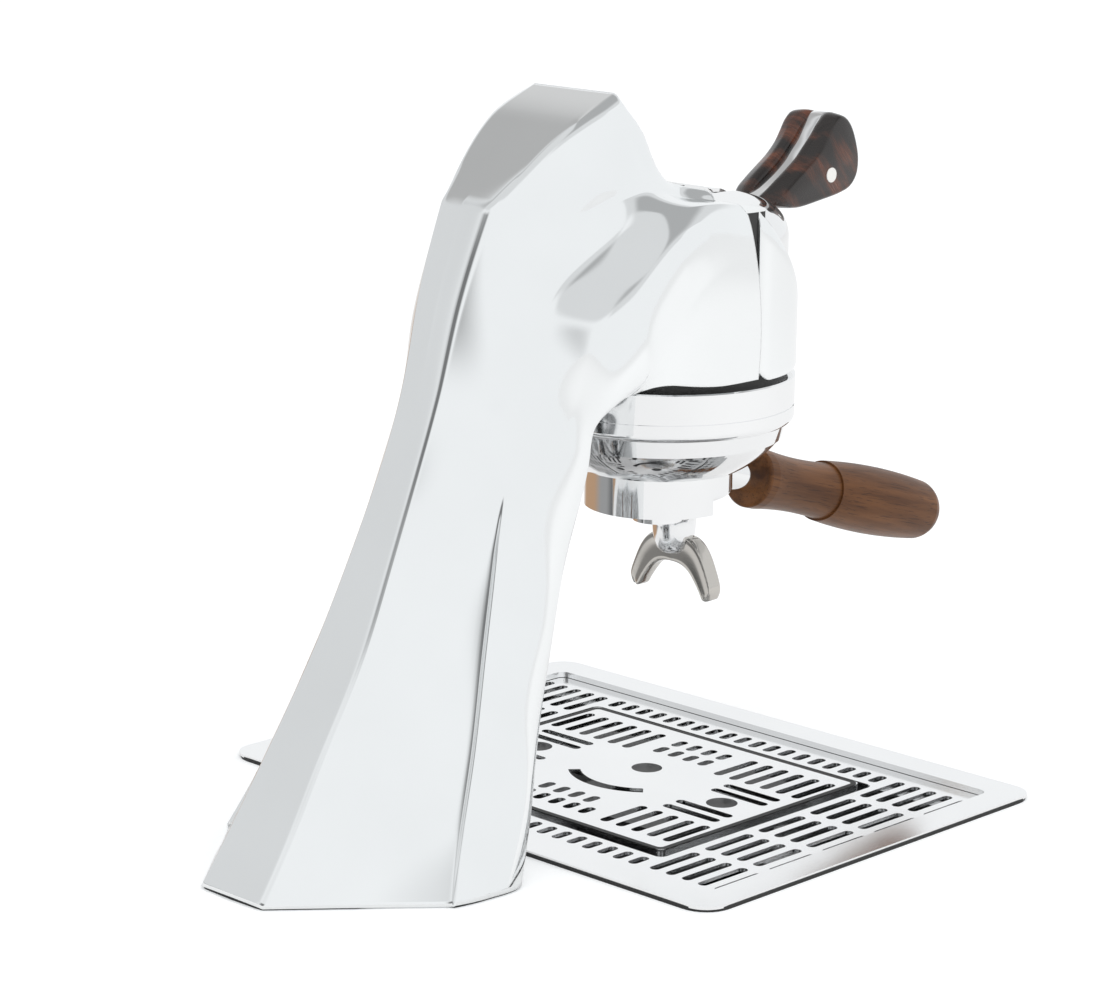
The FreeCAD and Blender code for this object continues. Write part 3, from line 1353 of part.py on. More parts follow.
# Portafilter, locked with its handle toward the barista
cup = turned("cup_turn", [
    (s.hub_bore, cup_bottom - s.boss_drop), (s.boss_radius, cup_bottom - s.boss_drop),
    (s.boss_radius, cup_bottom), (s.cup_radius - s.cup_round, cup_bottom, s.cup_round),
    (s.cup_radius, cup_bottom + s.cup_round), (s.cup_radius, shelf - 1),
    (s.cup_rim_radius, shelf), (s.cup_rim_radius, rim_top), (s.cup_bore, rim_top),
    (s.cup_bore, cup_floor), (s.hub_bore, cup_floor)], name_it=False)
heel = common(rod(s.cup_radius, s.cup_heel_depth + s.cup_round + 1, 0, 0, cup_bottom - s.cup_heel_depth),
              span(-s.cup_radius, s.cup_radius, 0, s.cup_radius, cup_bottom - s.cup_heel_depth,
                   cup_bottom + s.cup_round + 1))
lugs = [sector(s.cup_radius - 1, s.lug_radius, shelf, shelf + s.lug_thickness, quarter,
               s.lug_half_angle) for quarter in (90, 270)]


def along_handle(item):
    """Lay an upright piece along the handle's slope, from the group axis."""
    item.Placement = FreeCAD.Placement(
        FreeCAD.Vector(), FreeCAD.Rotation(FreeCAD.Vector(1, 0, 0), 90 + float(s.handle_slope)))
    bind(item, ".Placement.Rotation.Angle", s.handle_slope + 90)
    bind(item, ".Placement.Base.z", shelf - s.handle_axis_drop)
    return item


bolt_start = s.neck_length - s.handle_bolt_in_neck
neck = along_handle(cut(rod(s.neck_radius, s.neck_length - s.neck_start, 0, 0, s.neck_start),
                        rod(s.handle_bolt_radius, s.handle_bolt_in_neck, 0, 0, bolt_start)))
drip_bore = rod(s.hub_bore, s.cup_heel_depth + s.boss_drop, 0, 0, cup_bottom - s.boss_drop)
node("portafilter_body", cut(fuse(cup, heel, *lugs, neck), drip_bore), axis_y)
basket_low = rim_top + s.basket_rim_thickness - s.basket_depth
basket_in = s.basket_outer - s.basket_sheet
basket = turned("basket_turn", [
    (0, basket_low), (s.basket_outer, basket_low), (s.basket_outer, rim_top), (s.basket_rim_radius, rim_top),
    (s.basket_rim_radius, rim_top + s.basket_rim_thickness), (basket_in, rim_top + s.basket_rim_thickness),
    (basket_in, basket_low + s.basket_sheet), (0, basket_low + s.basket_sheet)], name_it=False)
BASKET_RADII = [4.0, 8.0, 12.0, 16.0, 20.0, 24.0]
BASKET_PITCH = 4.0
pierced = rings_of(BASKET_RADII, BASKET_PITCH)
node("filter_basket", cut(basket, drills(pierced, s.screen_hole_radius, basket_low - 1, 3)), axis_y)
wire = doc.addObject("Part::Torus", "wire")
bind(wire, "Radius1", (s.cup_bore + s.basket_outer) / 2)
bind(wire, "Radius2", (s.cup_bore - s.basket_outer) / 2)
node("basket_spring", place(wire, 0, axis_y, rim_top - s.basket_spring_drop))
hub = turned("hub_turn", [
    (s.hub_bore, hub_tip), (s.hub_tip_radius - s.hub_round, hub_tip, s.hub_round),
    (s.hub_tip_radius, hub_tip + s.hub_round), (s.hub_top_radius, hub_top), (s.hub_bore, hub_top)],
    name_it=False)
node("spout_hub", hub, axis_y)
spout_y = -s.spout_front - s.spout_width / 2
top = rod(s.spout_outer, s.spout_width, 0, spout_y, spout_centre, "back")
arch = rod(s.spout_inner, s.spout_width, 0, spout_y, spout_centre - s.spout_inner_drop, "back")
under = span(-s.spout_outer, s.spout_outer, spout_y, spout_y + s.spout_width,
             spout_centre - s.spout_outer, spout_tip)
run = cut(rod(s.spout_outer, s.spout_channel, 0, spout_y + (s.spout_width - s.spout_channel) / 2,
              spout_centre, "back"),
          rod(s.spout_outer - s.spout_channel_depth, s.spout_channel, 0,
              spout_y + (s.spout_width - s.spout_channel) / 2, spout_centre, "back"))
hub_low = hub_tip + s.hub_round
core = fuse(rod(s.hub_tip_radius, hub_low - spout_tip, 0, 0, spout_tip),
            cone(s.hub_tip_radius, s.hub_top_radius, hub_top - hub_low, 0, 0, hub_low))
node("twin_spout", cut(top, arch, under, run, core), axis_y)
steps = s.neck_length
bolt_end = bolt_start + s.handle_bolt_length
collar_r = s.handle_collar_radius
grip = turned("grip_turn", [
    (s.handle_bolt_radius, steps), (collar_r - s.handle_collar_round, steps, s.handle_collar_round),
    (collar_r, steps + s.handle_collar_round),
    (collar_r, steps + s.handle_collar_length, -s.handle_waist_curve),
    (s.handle_step_radius - s.handle_step_depth, steps + s.handle_step_at),
    (s.handle_step_radius, steps + s.handle_step_at, s.handle_belly_curve),
    (s.handle_tail_radius, steps + s.handle_length - s.handle_tail_length, s.handle_tail_round),
    (s.handle_tail_flat, steps + s.handle_length), (0, steps + s.handle_length), (0, bolt_end),
    (s.handle_bolt_radius, bolt_end)], name_it=False)
node("wooden_handle", along_handle(grip), axis_y)
stud = turned("stud_turn", tube_profile(0, s.handle_bolt_radius, bolt_start, bolt_end), name_it=False)
node("handle_bolt", along_handle(stud), axis_y)

# Drip tray, dropped in through the counter in front of the tower
tray_y = s.tray_centre
flange_low = s.tray_gasket_thickness
flange_high = flange_low + s.tray_sheet
well_x, well_y = s.tray_width / 2 - s.flange_side, s.tray_depth / 2 - s.flange_end
ledge_z = flange_high - s.ledge_drop
floor_z = flange_high - s.basin_drop
sheet_t = s.tray_sheet
low_x, low_y = well_x - s.ledge_width, well_y - s.ledge_width
drain_y = low_y - s.drain_inset
outer_corner = s.well_corner + sheet_t
pan = fuse(rounded(s.tray_width / 2, s.tray_depth / 2, s.tray_corner, flange_low, flange_high),
           rounded(well_x + sheet_t, well_y + sheet_t, outer_corner, ledge_z - sheet_t, flange_low),
           rounded(low_x + sheet_t, low_y + sheet_t, outer_corner, floor_z - sheet_t, ledge_z))
node("tray_basin", cut(pan, rounded(well_x, well_y, s.well_corner, ledge_z, flange_high + 1),
                       rounded(low_x, low_y, s.well_corner, floor_z, ledge_z + 1),
                       rod(s.drain_radius, sheet_t * 3, 0, drain_y, floor_z - sheet_t * 2)), tray_y)
trim = s.tray_gasket_inset
node("tray_gasket", cut(
    rounded(s.tray_width / 2 - trim, s.tray_depth / 2 - trim, s.tray_corner - trim, 0, flange_low),
    rounded(well_x + sheet_t, well_y + sheet_t, outer_corner, -1, flange_low + 1)), tray_y)
nut_low = floor_z - sheet_t - s.spigot_nut_height
hose_low = floor_z - sheet_t - s.spigot_length
drain_bore = rod(s.drain_radius - s.spigot_wall, s.spigot_length * 2, 0, drain_y, hose_low - 1)
node("drain_spigot", cut(fuse(
    rod(s.spigot_flange_radius, s.spigot_flange_thickness, 0, drain_y, floor_z),
    rod(s.drain_radius, s.spigot_nut_height + sheet_t, 0, drain_y, nut_low),
    rod(s.spigot_hose_radius, s.spigot_length + sheet_t, 0, drain_y, hose_low)), drain_bore), tray_y)
node("spigot_nut", cut(nut(s.spigot_nut_radius, s.spigot_nut_height, 0, drain_y, nut_low),
                       rod(s.drain_radius, s.spigot_nut_height, 0, drain_y, nut_low)), tray_y)
rim_z = floor_z + s.spigot_flange_thickness
strainer_out = s.drain_radius - s.spigot_wall - s.strainer_gap
strainer_low = rim_z - s.strainer_cup_depth
strainer = turned("strainer_turn", [
    (0, strainer_low), (strainer_out, strainer_low), (strainer_out, rim_z), (s.strainer_rim, rim_z),
    (s.strainer_rim, rim_z + s.strainer_sheet), (strainer_out - s.strainer_sheet, rim_z + s.strainer_sheet),
    (strainer_out - s.strainer_sheet, strainer_low + s.strainer_sheet), (0, strainer_low + s.strainer_sheet)],
    name_it=False)
STRAINER_RADII = [4.4, 8.2]
STRAINER_PITCH = 4.6
holes = drills(rings_of(STRAINER_RADII, STRAINER_PITCH), s.strainer_hole_radius, strainer_low - 1, 3)
node("drain_strainer", cut(strainer, holes), tray_y + drain_y)

# Grate on the basin's ledge
grate_x, grate_y = well_x - s.grate_gap, well_y - s.grate_gap
deck = s.grate_top - s.grate_sheet
short_row = grate_y - s.short_slot_inset
window_x = grate_x - s.window_side
window_y = short_row - s.short_slot_length / 2 - s.window_land
grate_cut = []
for k in range(round(float(s.short_slot_count))):
    x = s.slot_pitch * (k - (round(float(s.short_slot_count)) - 1) / 2)
    grate_cut += [(x, y, s.short_slot_length, s.slot_width, False)
                  for y in (-short_row, short_row)]
for column in range(round(float(s.end_slot_columns))):
    x = window_x + s.end_slot_land + s.slot_pitch * column
    for row in range(round(float(s.end_slot_rows))):
        y = s.end_slot_row_pitch * (row - (round(float(s.end_slot_rows)) - 1) / 2)
        grate_cut += [(side * x, y, s.end_slot_length, s.slot_width, False) for side in (-1, 1)]
grate = cut(rounded(grate_x, grate_y, s.well_corner, ledge_z, s.grate_top),
            rounded(grate_x - s.grate_skirt, grate_y - s.grate_skirt, s.well_corner - s.grate_skirt,
                    ledge_z - 1, deck))
window = rounded(window_x, window_y, s.window_corner, deck - 1, s.grate_top + 1)
grate_slots = slots(grate_cut, s.grate_top + 1, s.grate_sheet + 2)
node("drip_grate", cut(grate, window, grate_slots), tray_y)

# Cup plate, spider, load cell and base of the scale under the window
plate_x, plate_y = window_x - s.plate_gap, window_y - s.plate_gap
far_first, near_first = plate_x - s.plate_slot_inset, plate_x - s.plate_near_inset
slot_row, end_row = plate_y - s.plate_slot_row_inset, plate_y - s.plate_short_row_inset
plate_low = s.plate_top - s.plate_sheet
plate_cut = []
FAR_SLOTS = 5
NEAR_SLOTS = 6
MIDDLE_SLOTS = 4
for k in range(FAR_SLOTS):
    plate_cut += [(side * (far_first + s.plate_slot_pitch * k), slot_row, s.plate_slot_length,
                   s.slot_width, False) for side in (-1, 1)]
for k in range(NEAR_SLOTS):
    x = s.plate_slot_pitch * (k - (NEAR_SLOTS - 1) / 2)
    plate_cut += [(side * (near_first + s.plate_slot_pitch * k), -slot_row, s.plate_slot_length,
                   s.slot_width, False) for side in (-1, 1)]
    plate_cut.append((x, end_row, s.plate_short_length, s.slot_width, False))
for k in range(MIDDLE_SLOTS):
    x = s.plate_slot_pitch * (k - (MIDDLE_SLOTS - 1) / 2)
    plate_cut += [(x, y, s.plate_short_length, s.slot_width, False)
                  for y in (end_row - s.plate_short_row_pitch, -end_row,
                            s.plate_short_row_pitch - end_row)]
plate_cut += [(x, y, s.plate_side_slot_length, s.slot_width, True)
              for x in (-s.plate_side_at, s.plate_side_at)
              for y in (-s.plate_side_outer, -s.plate_side_inner, s.plate_side_inner, s.plate_side_outer)]
arc_out = rod(s.plate_arc_radius + s.plate_arc_width / 2, s.plate_sheet * 3, 0, 0, plate_low - s.plate_sheet)
bind(arc_out, "Angle", s.plate_arc_half_angle * 2)
arc_out.Placement.Rotation = FreeCAD.Rotation(FreeCAD.Vector(0, 0, 1), 90 - float(s.plate_arc_half_angle))
arc_in = rod(s.plate_arc_radius - s.plate_arc_width / 2, s.plate_sheet * 3, 0, 0, plate_low - s.plate_sheet)
round_holes = [rod(s.plate_hole_radius, s.plate_sheet * 3, x, y, plate_low - s.plate_sheet)
               for x, y in ((0, -s.plate_centre_hole_front), (-s.plate_side_at, 0), (s.plate_side_at, 0))]
arc_slot = cut(arc_out, arc_in)
bind(arc_slot, ".Placement.Base.y", s.plate_arc_reach - s.plate_arc_radius)
cup_rest = cut(rounded(plate_x, plate_y, s.plate_corner, s.plate_top - s.plate_skirt, s.plate_top),
               rounded(plate_x - s.plate_sheet, plate_y - s.plate_sheet, s.plate_corner - s.plate_sheet,
                       s.plate_top - s.plate_skirt - 1, plate_low))
node("cup_plate", cut(cup_rest, slots(plate_cut, s.plate_top + 1, s.plate_sheet + 2), arc_slot, *round_holes),
     tray_y)
base_low = floor_z + s.scale_foot_height
base_high = base_low + s.scale_height
base_in = base_low + s.scale_wall
cell_low = base_in + s.load_cell_pad
cell_high = cell_low + s.load_cell_height
cell_x0 = s.post_radius + 1 - s.load_cell_length
box_x, box_y = s.scale_width / 2, s.scale_depth / 2
casing = cut(rounded(box_x, box_y, s.scale_corner, base_low, base_high),
             rounded(box_x - s.scale_wall, box_y - s.scale_wall, s.scale_corner - s.scale_wall, base_in,
                     base_high - s.scale_wall),
             rod(s.post_radius + s.post_clearance, s.scale_height, 0, 0, base_in))
feet = [rod(s.scale_foot_radius, s.scale_foot_height, x, y, floor_z)
        for x in (s.scale_foot_in - box_x, box_x - s.scale_foot_in)
        for y in (s.scale_foot_in - box_y, box_y - s.scale_foot_in)]
cell_pad = slab(s.load_cell_pad_length, s.load_cell_width, s.load_cell_pad,
                cell_x0 + s.load_cell_pad_length / 2, 0, base_in)
node("scale_base", fuse(casing, cell_pad, *feet), tray_y)
cell_half = s.load_cell_width / 2
waist = rod(s.load_cell_hole_radius, s.load_cell_width, cell_x0 + s.load_cell_length / 2, -cell_half,
            cell_low + s.load_cell_height / 2, "back")
cell = span(cell_x0, cell_x0 + s.load_cell_length, -cell_half, cell_half, cell_low, cell_high)
node("load_cell", cut(cell, waist), tray_y)
spider_low = plate_low - s.spider_thickness
arm_back = (s.spider_depth - s.spider_arm) / 2
spider_arms = [slab(s.spider_width, s.spider_arm, s.spider_thickness, 0, y, spider_low)
               for y in (-arm_back, 0, arm_back)]
spider_arms.append(slab(s.spider_arm, s.spider_depth, s.spider_thickness, 0, 0, spider_low))
node("scale_spider", fuse(*spider_arms, rod(s.post_radius, spider_low - cell_high, 0, 0, cell_high)), tray_y)
node("scale_gland", rod(s.scale_gland_radius, s.scale_gland_length, s.scale_gland_at, box_y,
                        base_low + s.scale_height / 2, "back"))
bind(NODES[-1], ".Placement.Base.y", tray_y + box_y)

# Check every piece, then write the files
doc.recompute()
for item in doc.Objects:
    if "Invalid" in item.State or "Error" in item.State:
        raise RuntimeError(f"{item.Name} did not rebuild")
for item in NODES:
    if item.Shape.isNull() or not item.Shape.isValid():
        raise RuntimeError(f"{item.Label} has no valid shape")
    item.Shape.exportStep(f"parts/{item.Label}.step")
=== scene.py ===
"""Looks of a one-group commercial espresso machine that is set in a counter.

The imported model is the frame. This script dresses it: each finish is a procedural material, and each
sub-assembly is a class whose methods work its surfaces out with numpy. Places are in metres in the
model's own frame, with +Z up and the counter's top at z = COUNTER_Z. The sizes that a sub-assembly
holds are in millimetres unless they say otherwise, with y taken from the group's axis.
"""

import enum
import json
import logging
import math
from dataclasses import dataclass
from typing import Any, Mapping, Sequence

import bmesh
import bpy
import numpy as np
from mathutils import Matrix, Vector


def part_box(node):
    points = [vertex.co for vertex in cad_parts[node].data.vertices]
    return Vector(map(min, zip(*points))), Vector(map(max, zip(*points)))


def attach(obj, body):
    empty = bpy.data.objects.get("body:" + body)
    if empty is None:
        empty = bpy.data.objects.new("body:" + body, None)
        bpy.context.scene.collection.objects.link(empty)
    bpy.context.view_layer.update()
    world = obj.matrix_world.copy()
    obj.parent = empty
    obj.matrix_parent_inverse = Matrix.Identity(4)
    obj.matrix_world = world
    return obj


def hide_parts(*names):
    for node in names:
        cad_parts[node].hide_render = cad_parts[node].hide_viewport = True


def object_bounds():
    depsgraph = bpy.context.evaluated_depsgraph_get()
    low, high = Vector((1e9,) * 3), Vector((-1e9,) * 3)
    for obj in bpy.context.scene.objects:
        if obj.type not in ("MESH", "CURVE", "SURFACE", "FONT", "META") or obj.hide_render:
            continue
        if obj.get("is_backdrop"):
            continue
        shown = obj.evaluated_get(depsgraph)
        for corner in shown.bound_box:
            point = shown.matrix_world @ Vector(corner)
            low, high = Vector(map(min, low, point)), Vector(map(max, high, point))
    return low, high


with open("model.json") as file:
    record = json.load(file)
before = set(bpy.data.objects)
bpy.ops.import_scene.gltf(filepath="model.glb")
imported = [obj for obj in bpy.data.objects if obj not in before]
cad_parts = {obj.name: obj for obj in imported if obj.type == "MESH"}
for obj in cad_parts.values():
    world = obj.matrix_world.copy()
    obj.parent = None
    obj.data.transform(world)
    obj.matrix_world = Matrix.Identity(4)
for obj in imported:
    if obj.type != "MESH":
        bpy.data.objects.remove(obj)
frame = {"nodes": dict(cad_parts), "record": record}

log = logging.getLogger("espresso")

Colour = tuple[float, float, float, float]
Points = tuple[tuple[float, ...], ...]

MM = 0.001
GROUP_Y = -205 * MM
COUNTER_Z = 0.0
WELD = 0.01 * MM
TINY = 1e-9
SIDES = (("left", -1.0), ("right", 1.0))
EDGE_WIDTHS = {"upper_ring": 0.5 * MM, "bayonet_ring": 0.7 * MM, "portafilter_body": 0.3 * MM}
EDGE_SEGMENTS = 2
EDGE_ANGLE = math.radians(40)
CLOUD_LAYERS = 3.0
# The Mix node's colour sockets by number, because those for plain numbers have the same names.
MIX_FIRST, MIX_SECOND, MIX_RESULT = 6, 7, 2


class Body(enum.Enum):
    """The bodies of the frame that the pieces of this script ride on."""

    FRAME = "frame"
    PADDLE = "paddle"
    PORTAFILTER = "portafilter"
    CUP_PLATE = "cup_plate"


class Line(enum.IntEnum):
    """The lines that run up the tower, from the middle of its back to the middle of its front."""

    MIDDLE = 0
    BACK_CREASE = 1
    FLARE = 2
    SIDE_CREASE = 3
    SIDE = 4
    FRONT_CORNER = 5
    SHOULDER = 6
    CENTRE = 7


class Signal:
    """A value that varies over a surface, held by a socket, with its sums written as Python."""

    def __init__(self, recipe: "Recipe", socket: bpy.types.NodeSocket) -> None:
        """Keeps the socket and the recipe whose tree holds it."""
        self.recipe = recipe
        self.socket = socket

    def __add__(self, other: Any) -> "Signal":
        """The sum."""
        return self.recipe.math("ADD", self, other)

    __radd__ = __add__

    def __mul__(self, other: Any) -> "Signal":
        """The product."""
        return self.recipe.math("MULTIPLY", self, other)

    __rmul__ = __mul__

    def __sub__(self, other: Any) -> "Signal":
        """The difference."""
        return self.recipe.math("SUBTRACT", self, other)

    def __rsub__(self, other: Any) -> "Signal":
        """The difference from a plain number."""
        return self.recipe.math("SUBTRACT", other, self)

    def step(self, low: float, high: float) -> "Signal":
        """A smooth step from 0 at the low number to 1 at the high one."""
        return self.recipe.node("MapRange", {"interpolation_type": "SMOOTHSTEP"},
                                {"Value": self, "From Min": low, "From Max": high}).signal()

    def between(self, low: float, full: float, fade: float, high: float) -> "Signal":
        """A smooth rise from 0 to 1 and, further on, a smooth fall back to 0."""
        return self.step(low, full) * (1 - self.step(fade, high))


class Node:
    """A node that a recipe has made, with its outputs by name."""

    def __init__(self, recipe: "Recipe", node: bpy.types.Node) -> None:
        """Keeps the node and its recipe."""
        self.recipe = recipe
        self.node = node

    def signal(self, output: Any = 0) -> Signal:
        """An output of the node, as a signal."""
        return Signal(self.recipe, self.node.outputs[output])


class Recipe:
    """The node tree of one material or of the world."""

    def __init__(self, tree: bpy.types.NodeTree) -> None:
        """Empties the tree and keeps it."""
        self.tree = tree
        tree.nodes.clear()

    def node(self, kind: str, settings: Mapping[str, Any] | None = None,
             sockets: Mapping[Any, Any] | None = None) -> Node:
        """Adds a node, sets it up and joins its sockets.

        Args:
            kind: The node's type, without the ShaderNode in front.
            settings: Its own settings, set first.
            sockets: The value or signal that goes into each input.

        Returns:
            The node.
        """
        made = self.tree.nodes.new("ShaderNode" + kind)
        for name, value in (settings or {}).items():
            setattr(made, name, value)
        for key, value in (sockets or {}).items():
            if isinstance(value, Signal):
                self.tree.links.new(value.socket, made.inputs[key])
            else:
                made.inputs[key].default_value = value
        return Node(self, made)

    def math(self, operation: str, first: Any, second: Any) -> Signal:
        """One operation on two numbers or signals."""
        return self.node("Math", {"operation": operation}, {0: first, 1: second}).signal()

    def scaled(self, where: Signal, scale: Sequence[float]) -> Signal:
        """Coordinates that are stretched along their own axes."""
        return self.node("VectorMath", {"operation": "MULTIPLY"}, {0: where, 1: scale}).signal()

    def places(self, scale: Sequence[float] = (1, 1, 1), turn: Sequence[float] = (0, 0, 0),
               shift: Sequence[float] = (0, 0, 0)) -> Signal:
        """Object coordinates, shifted, turned and stretched.

        Args:
            scale: How much each axis is stretched.
            turn: The turn about each axis, in radians.
            shift: The point of the model that becomes the pattern's centre.

        Returns:
            The coordinates.
        """
        where = self.node("TexCoord").signal("Object")
        moved = self.node("VectorMath", {"operation": "SUBTRACT"}, {0: where, 1: shift}).signal()
        return self.node("Mapping", {}, {"Vector": moved, "Rotation": turn, "Scale": scale}).signal()

    def noise(self, where: Signal, scale: float, detail: float = 2.0, rough: float = 0.5) -> Signal:
        """Cloudy noise, from about 0.3 to 0.7.

        Args:
            where: The coordinates.
            scale: Clouds per metre.
            detail: How many finer layers it has.
            rough: How strong the finer layers are.

        Returns:
            The noise.
        """
        return self.node("TexNoise", {}, {"Vector": where, "Scale": scale, "Detail": detail,
                                          "Roughness": rough}).signal("Fac")

    def mix(self, share: Any, first: Any, second: Any) -> Signal:
        """A mix of two colours by a share from 0 to 1."""
        sockets = {0: share, MIX_FIRST: first, MIX_SECOND: second}
        return self.node("Mix", {"data_type": "RGBA"}, sockets).signal(MIX_RESULT)

    def bump(self, height: Signal, strength: float, depth: float) -> Signal:
        """A normal that is tilted by a height, whose 1 is the depth in metres."""
        return self.node("Bump", {}, {"Strength": strength, "Distance": depth, "Height": height}).signal()

    def surface(self, sockets: Mapping[str, Any]) -> None:
        """Ends a material's recipe with one Principled shader, given its inputs by name."""
        shader = self.node("BsdfPrincipled", {}, sockets)
        self.node("OutputMaterial", {}, {"Surface": shader.signal("BSDF")})


def fresh_material(name: str) -> tuple[bpy.types.Material, Recipe]:
    """Starts a material.

    Args:
        name: The material's name.

    Returns:
        The material, and its empty recipe.
    """
    material = bpy.data.materials.new(name)
    material.use_nodes = True
    return material, Recipe(material.node_tree)


def grey(level: float) -> Colour:
    """An opaque grey of a given linear level."""
    return (level, level, level, 1.0)


def rgb(red: float, green: float, blue: float) -> Colour:
    """An opaque linear colour."""
    return (red, green, blue, 1.0)


def tinted(colour: Colour, gain: float, lift: float = 0.0) -> Colour:
    """A colour times a gain plus a lift, kept below white and opaque."""
    return rgb(*(min(1.0, gain * channel + lift) for channel in colour[:3]))


@dataclass(frozen=True)
class Finish:
    """What every finish has: its name, and a method that makes its material."""

    name: str

    def material(self) -> bpy.types.Material:
        """The finished material."""
        raise NotImplementedError


@dataclass(frozen=True)
class PolishedMetal(Finish):
    """Buffed metal: soft clouds in tone, roughness that wanders a little, and a faint hand-polished wave.

    The clouds are noise of a few centimetres, the wave is slow noise of one layer, and the hairlines
    that stir the roughness are noise stretched along two axes. Scales are per metre.
    """

    colour: Colour = grey(0.9)
    roughness: float = 0.05
    wander: float = 0.03
    wave: float = 0.0
    wave_scale: float = 25.0
    cloud_scale: float = 18.0
    cloud_tone: float = 0.93
    wave_depth: float = 1 * MM
    hairline_scale: tuple[float, float, float] = (40, 40, 1500)

    def material(self) -> bpy.types.Material:
        """Makes the metal.

        Returns:
            The finished material.
        """
        material, recipe = fresh_material(self.name)
        where = recipe.places()
        clouds = recipe.noise(where, self.cloud_scale, CLOUD_LAYERS)
        hairlines = recipe.noise(recipe.places(self.hairline_scale), 1.0)
        swell = recipe.noise(where, self.wave_scale, 1.0) * self.wave
        recipe.surface({
            "Base Color": recipe.mix(clouds, tinted(self.colour, self.cloud_tone), self.colour),
            "Metallic": 1.0,
            "Roughness": self.roughness + self.wander * clouds + self.wander * hairlines,
            "Normal": recipe.bump(swell, 1.0, self.wave_depth),
        })
        return material


@dataclass(frozen=True)
class MouldedPlastic(Finish):
    """Moulded plastic or rubber: a fine grain over clouds that are a little lighter and rougher."""

    colour: Colour = grey(0.02)
    roughness: float = 0.45
    grain: float = 0.1
    grain_scale: float = 2500.0
    grain_depth: float = 0.1 * MM
    cloud_scale: float = 60.0
    cloud_gain: float = 1.3
    cloud_lift: float = 0.004
    wander: float = 0.12

    def material(self) -> bpy.types.Material:
        """Makes the plastic.

        Returns:
            The finished material.
        """
        material, recipe = fresh_material(self.name)
        where = recipe.places()
        clouds = recipe.noise(where, self.cloud_scale, CLOUD_LAYERS)
        light = tinted(self.colour, self.cloud_gain, self.cloud_lift)
        recipe.surface({
            "Base Color": recipe.mix(clouds, self.colour, light),
            "Roughness": self.roughness + self.wander * (clouds - 0.5),
            "Normal": recipe.bump(recipe.noise(where, self.grain_scale), self.grain, self.grain_depth),
        })
        return material


@dataclass(frozen=True)
class Walnut(Finish):
    """Oiled walnut: long streaks along the grain, pores as fine dashes, and slow bands of tone.

    All three are noise that is stretched along the pattern's own Y axis, which a turn about the model's
    X axis lays along the handle.
    """

    light: Colour = rgb(0.205, 0.082, 0.026)
    dark: Colour = rgb(0.068, 0.025, 0.009)
    pore: Colour = rgb(0.03, 0.012, 0.006)
    centre: tuple[float, float, float] = (0.0, -0.28, 0.13)
    slope: float = -0.28
    streak_scale: tuple[float, float, float] = (120.0, 9.0, 120.0)
    pore_scale: tuple[float, float, float] = (1500.0, 60.0, 1500.0)
    band_scale: tuple[float, float, float] = (45.0, 5.0, 45.0)
    streak_layers: float = 5.0
    streak_strength: float = 0.6
    streak_share: float = 0.55
    tone_edges: tuple[float, float] = (0.35, 0.65)
    pore_edges: tuple[float, float] = (0.56, 0.7)
    pore_share: float = 0.6
    pore_walls: tuple[float, float] = (0.5, 0.7)
    pore_bump: float = 0.25
    pore_depth: float = 0.15 * MM
    roughness: float = 0.34
    wander: float = 0.12
    specular: float = 0.2
    oil: float = 0.04
    oil_wander: float = 0.05
    oil_roughness: float = 0.25

    def material(self) -> bpy.types.Material:
        """Makes the wood.

        Returns:
            The finished material.
        """
        material, recipe = fresh_material(self.name)
        where = recipe.places(turn=(self.slope, 0, 0), shift=self.centre)
        streaks = recipe.noise(recipe.scaled(where, self.streak_scale), 1.0, self.streak_layers,
                               self.streak_strength)
        pores = recipe.noise(recipe.scaled(where, self.pore_scale), 1.0)
        bands = recipe.noise(recipe.scaled(where, self.band_scale), 1.0)
        share = (streaks.step(*self.tone_edges) * self.streak_share
                 + bands.step(*self.tone_edges) * (1 - self.streak_share))
        wood = recipe.mix(share, self.dark, self.light)
        recipe.surface({
            "Base Color": recipe.mix(pores.step(*self.pore_edges) * self.pore_share, wood, self.pore),
            "Roughness": self.roughness + self.wander * (1 - share),
            "Coat Weight": self.oil + self.oil_wander * bands,
            "Specular IOR Level": self.specular,
            "Coat Roughness": self.oil_roughness,
            "Normal": recipe.bump(pores.step(*self.pore_walls), self.pore_bump, -self.pore_depth),
        })
        return material


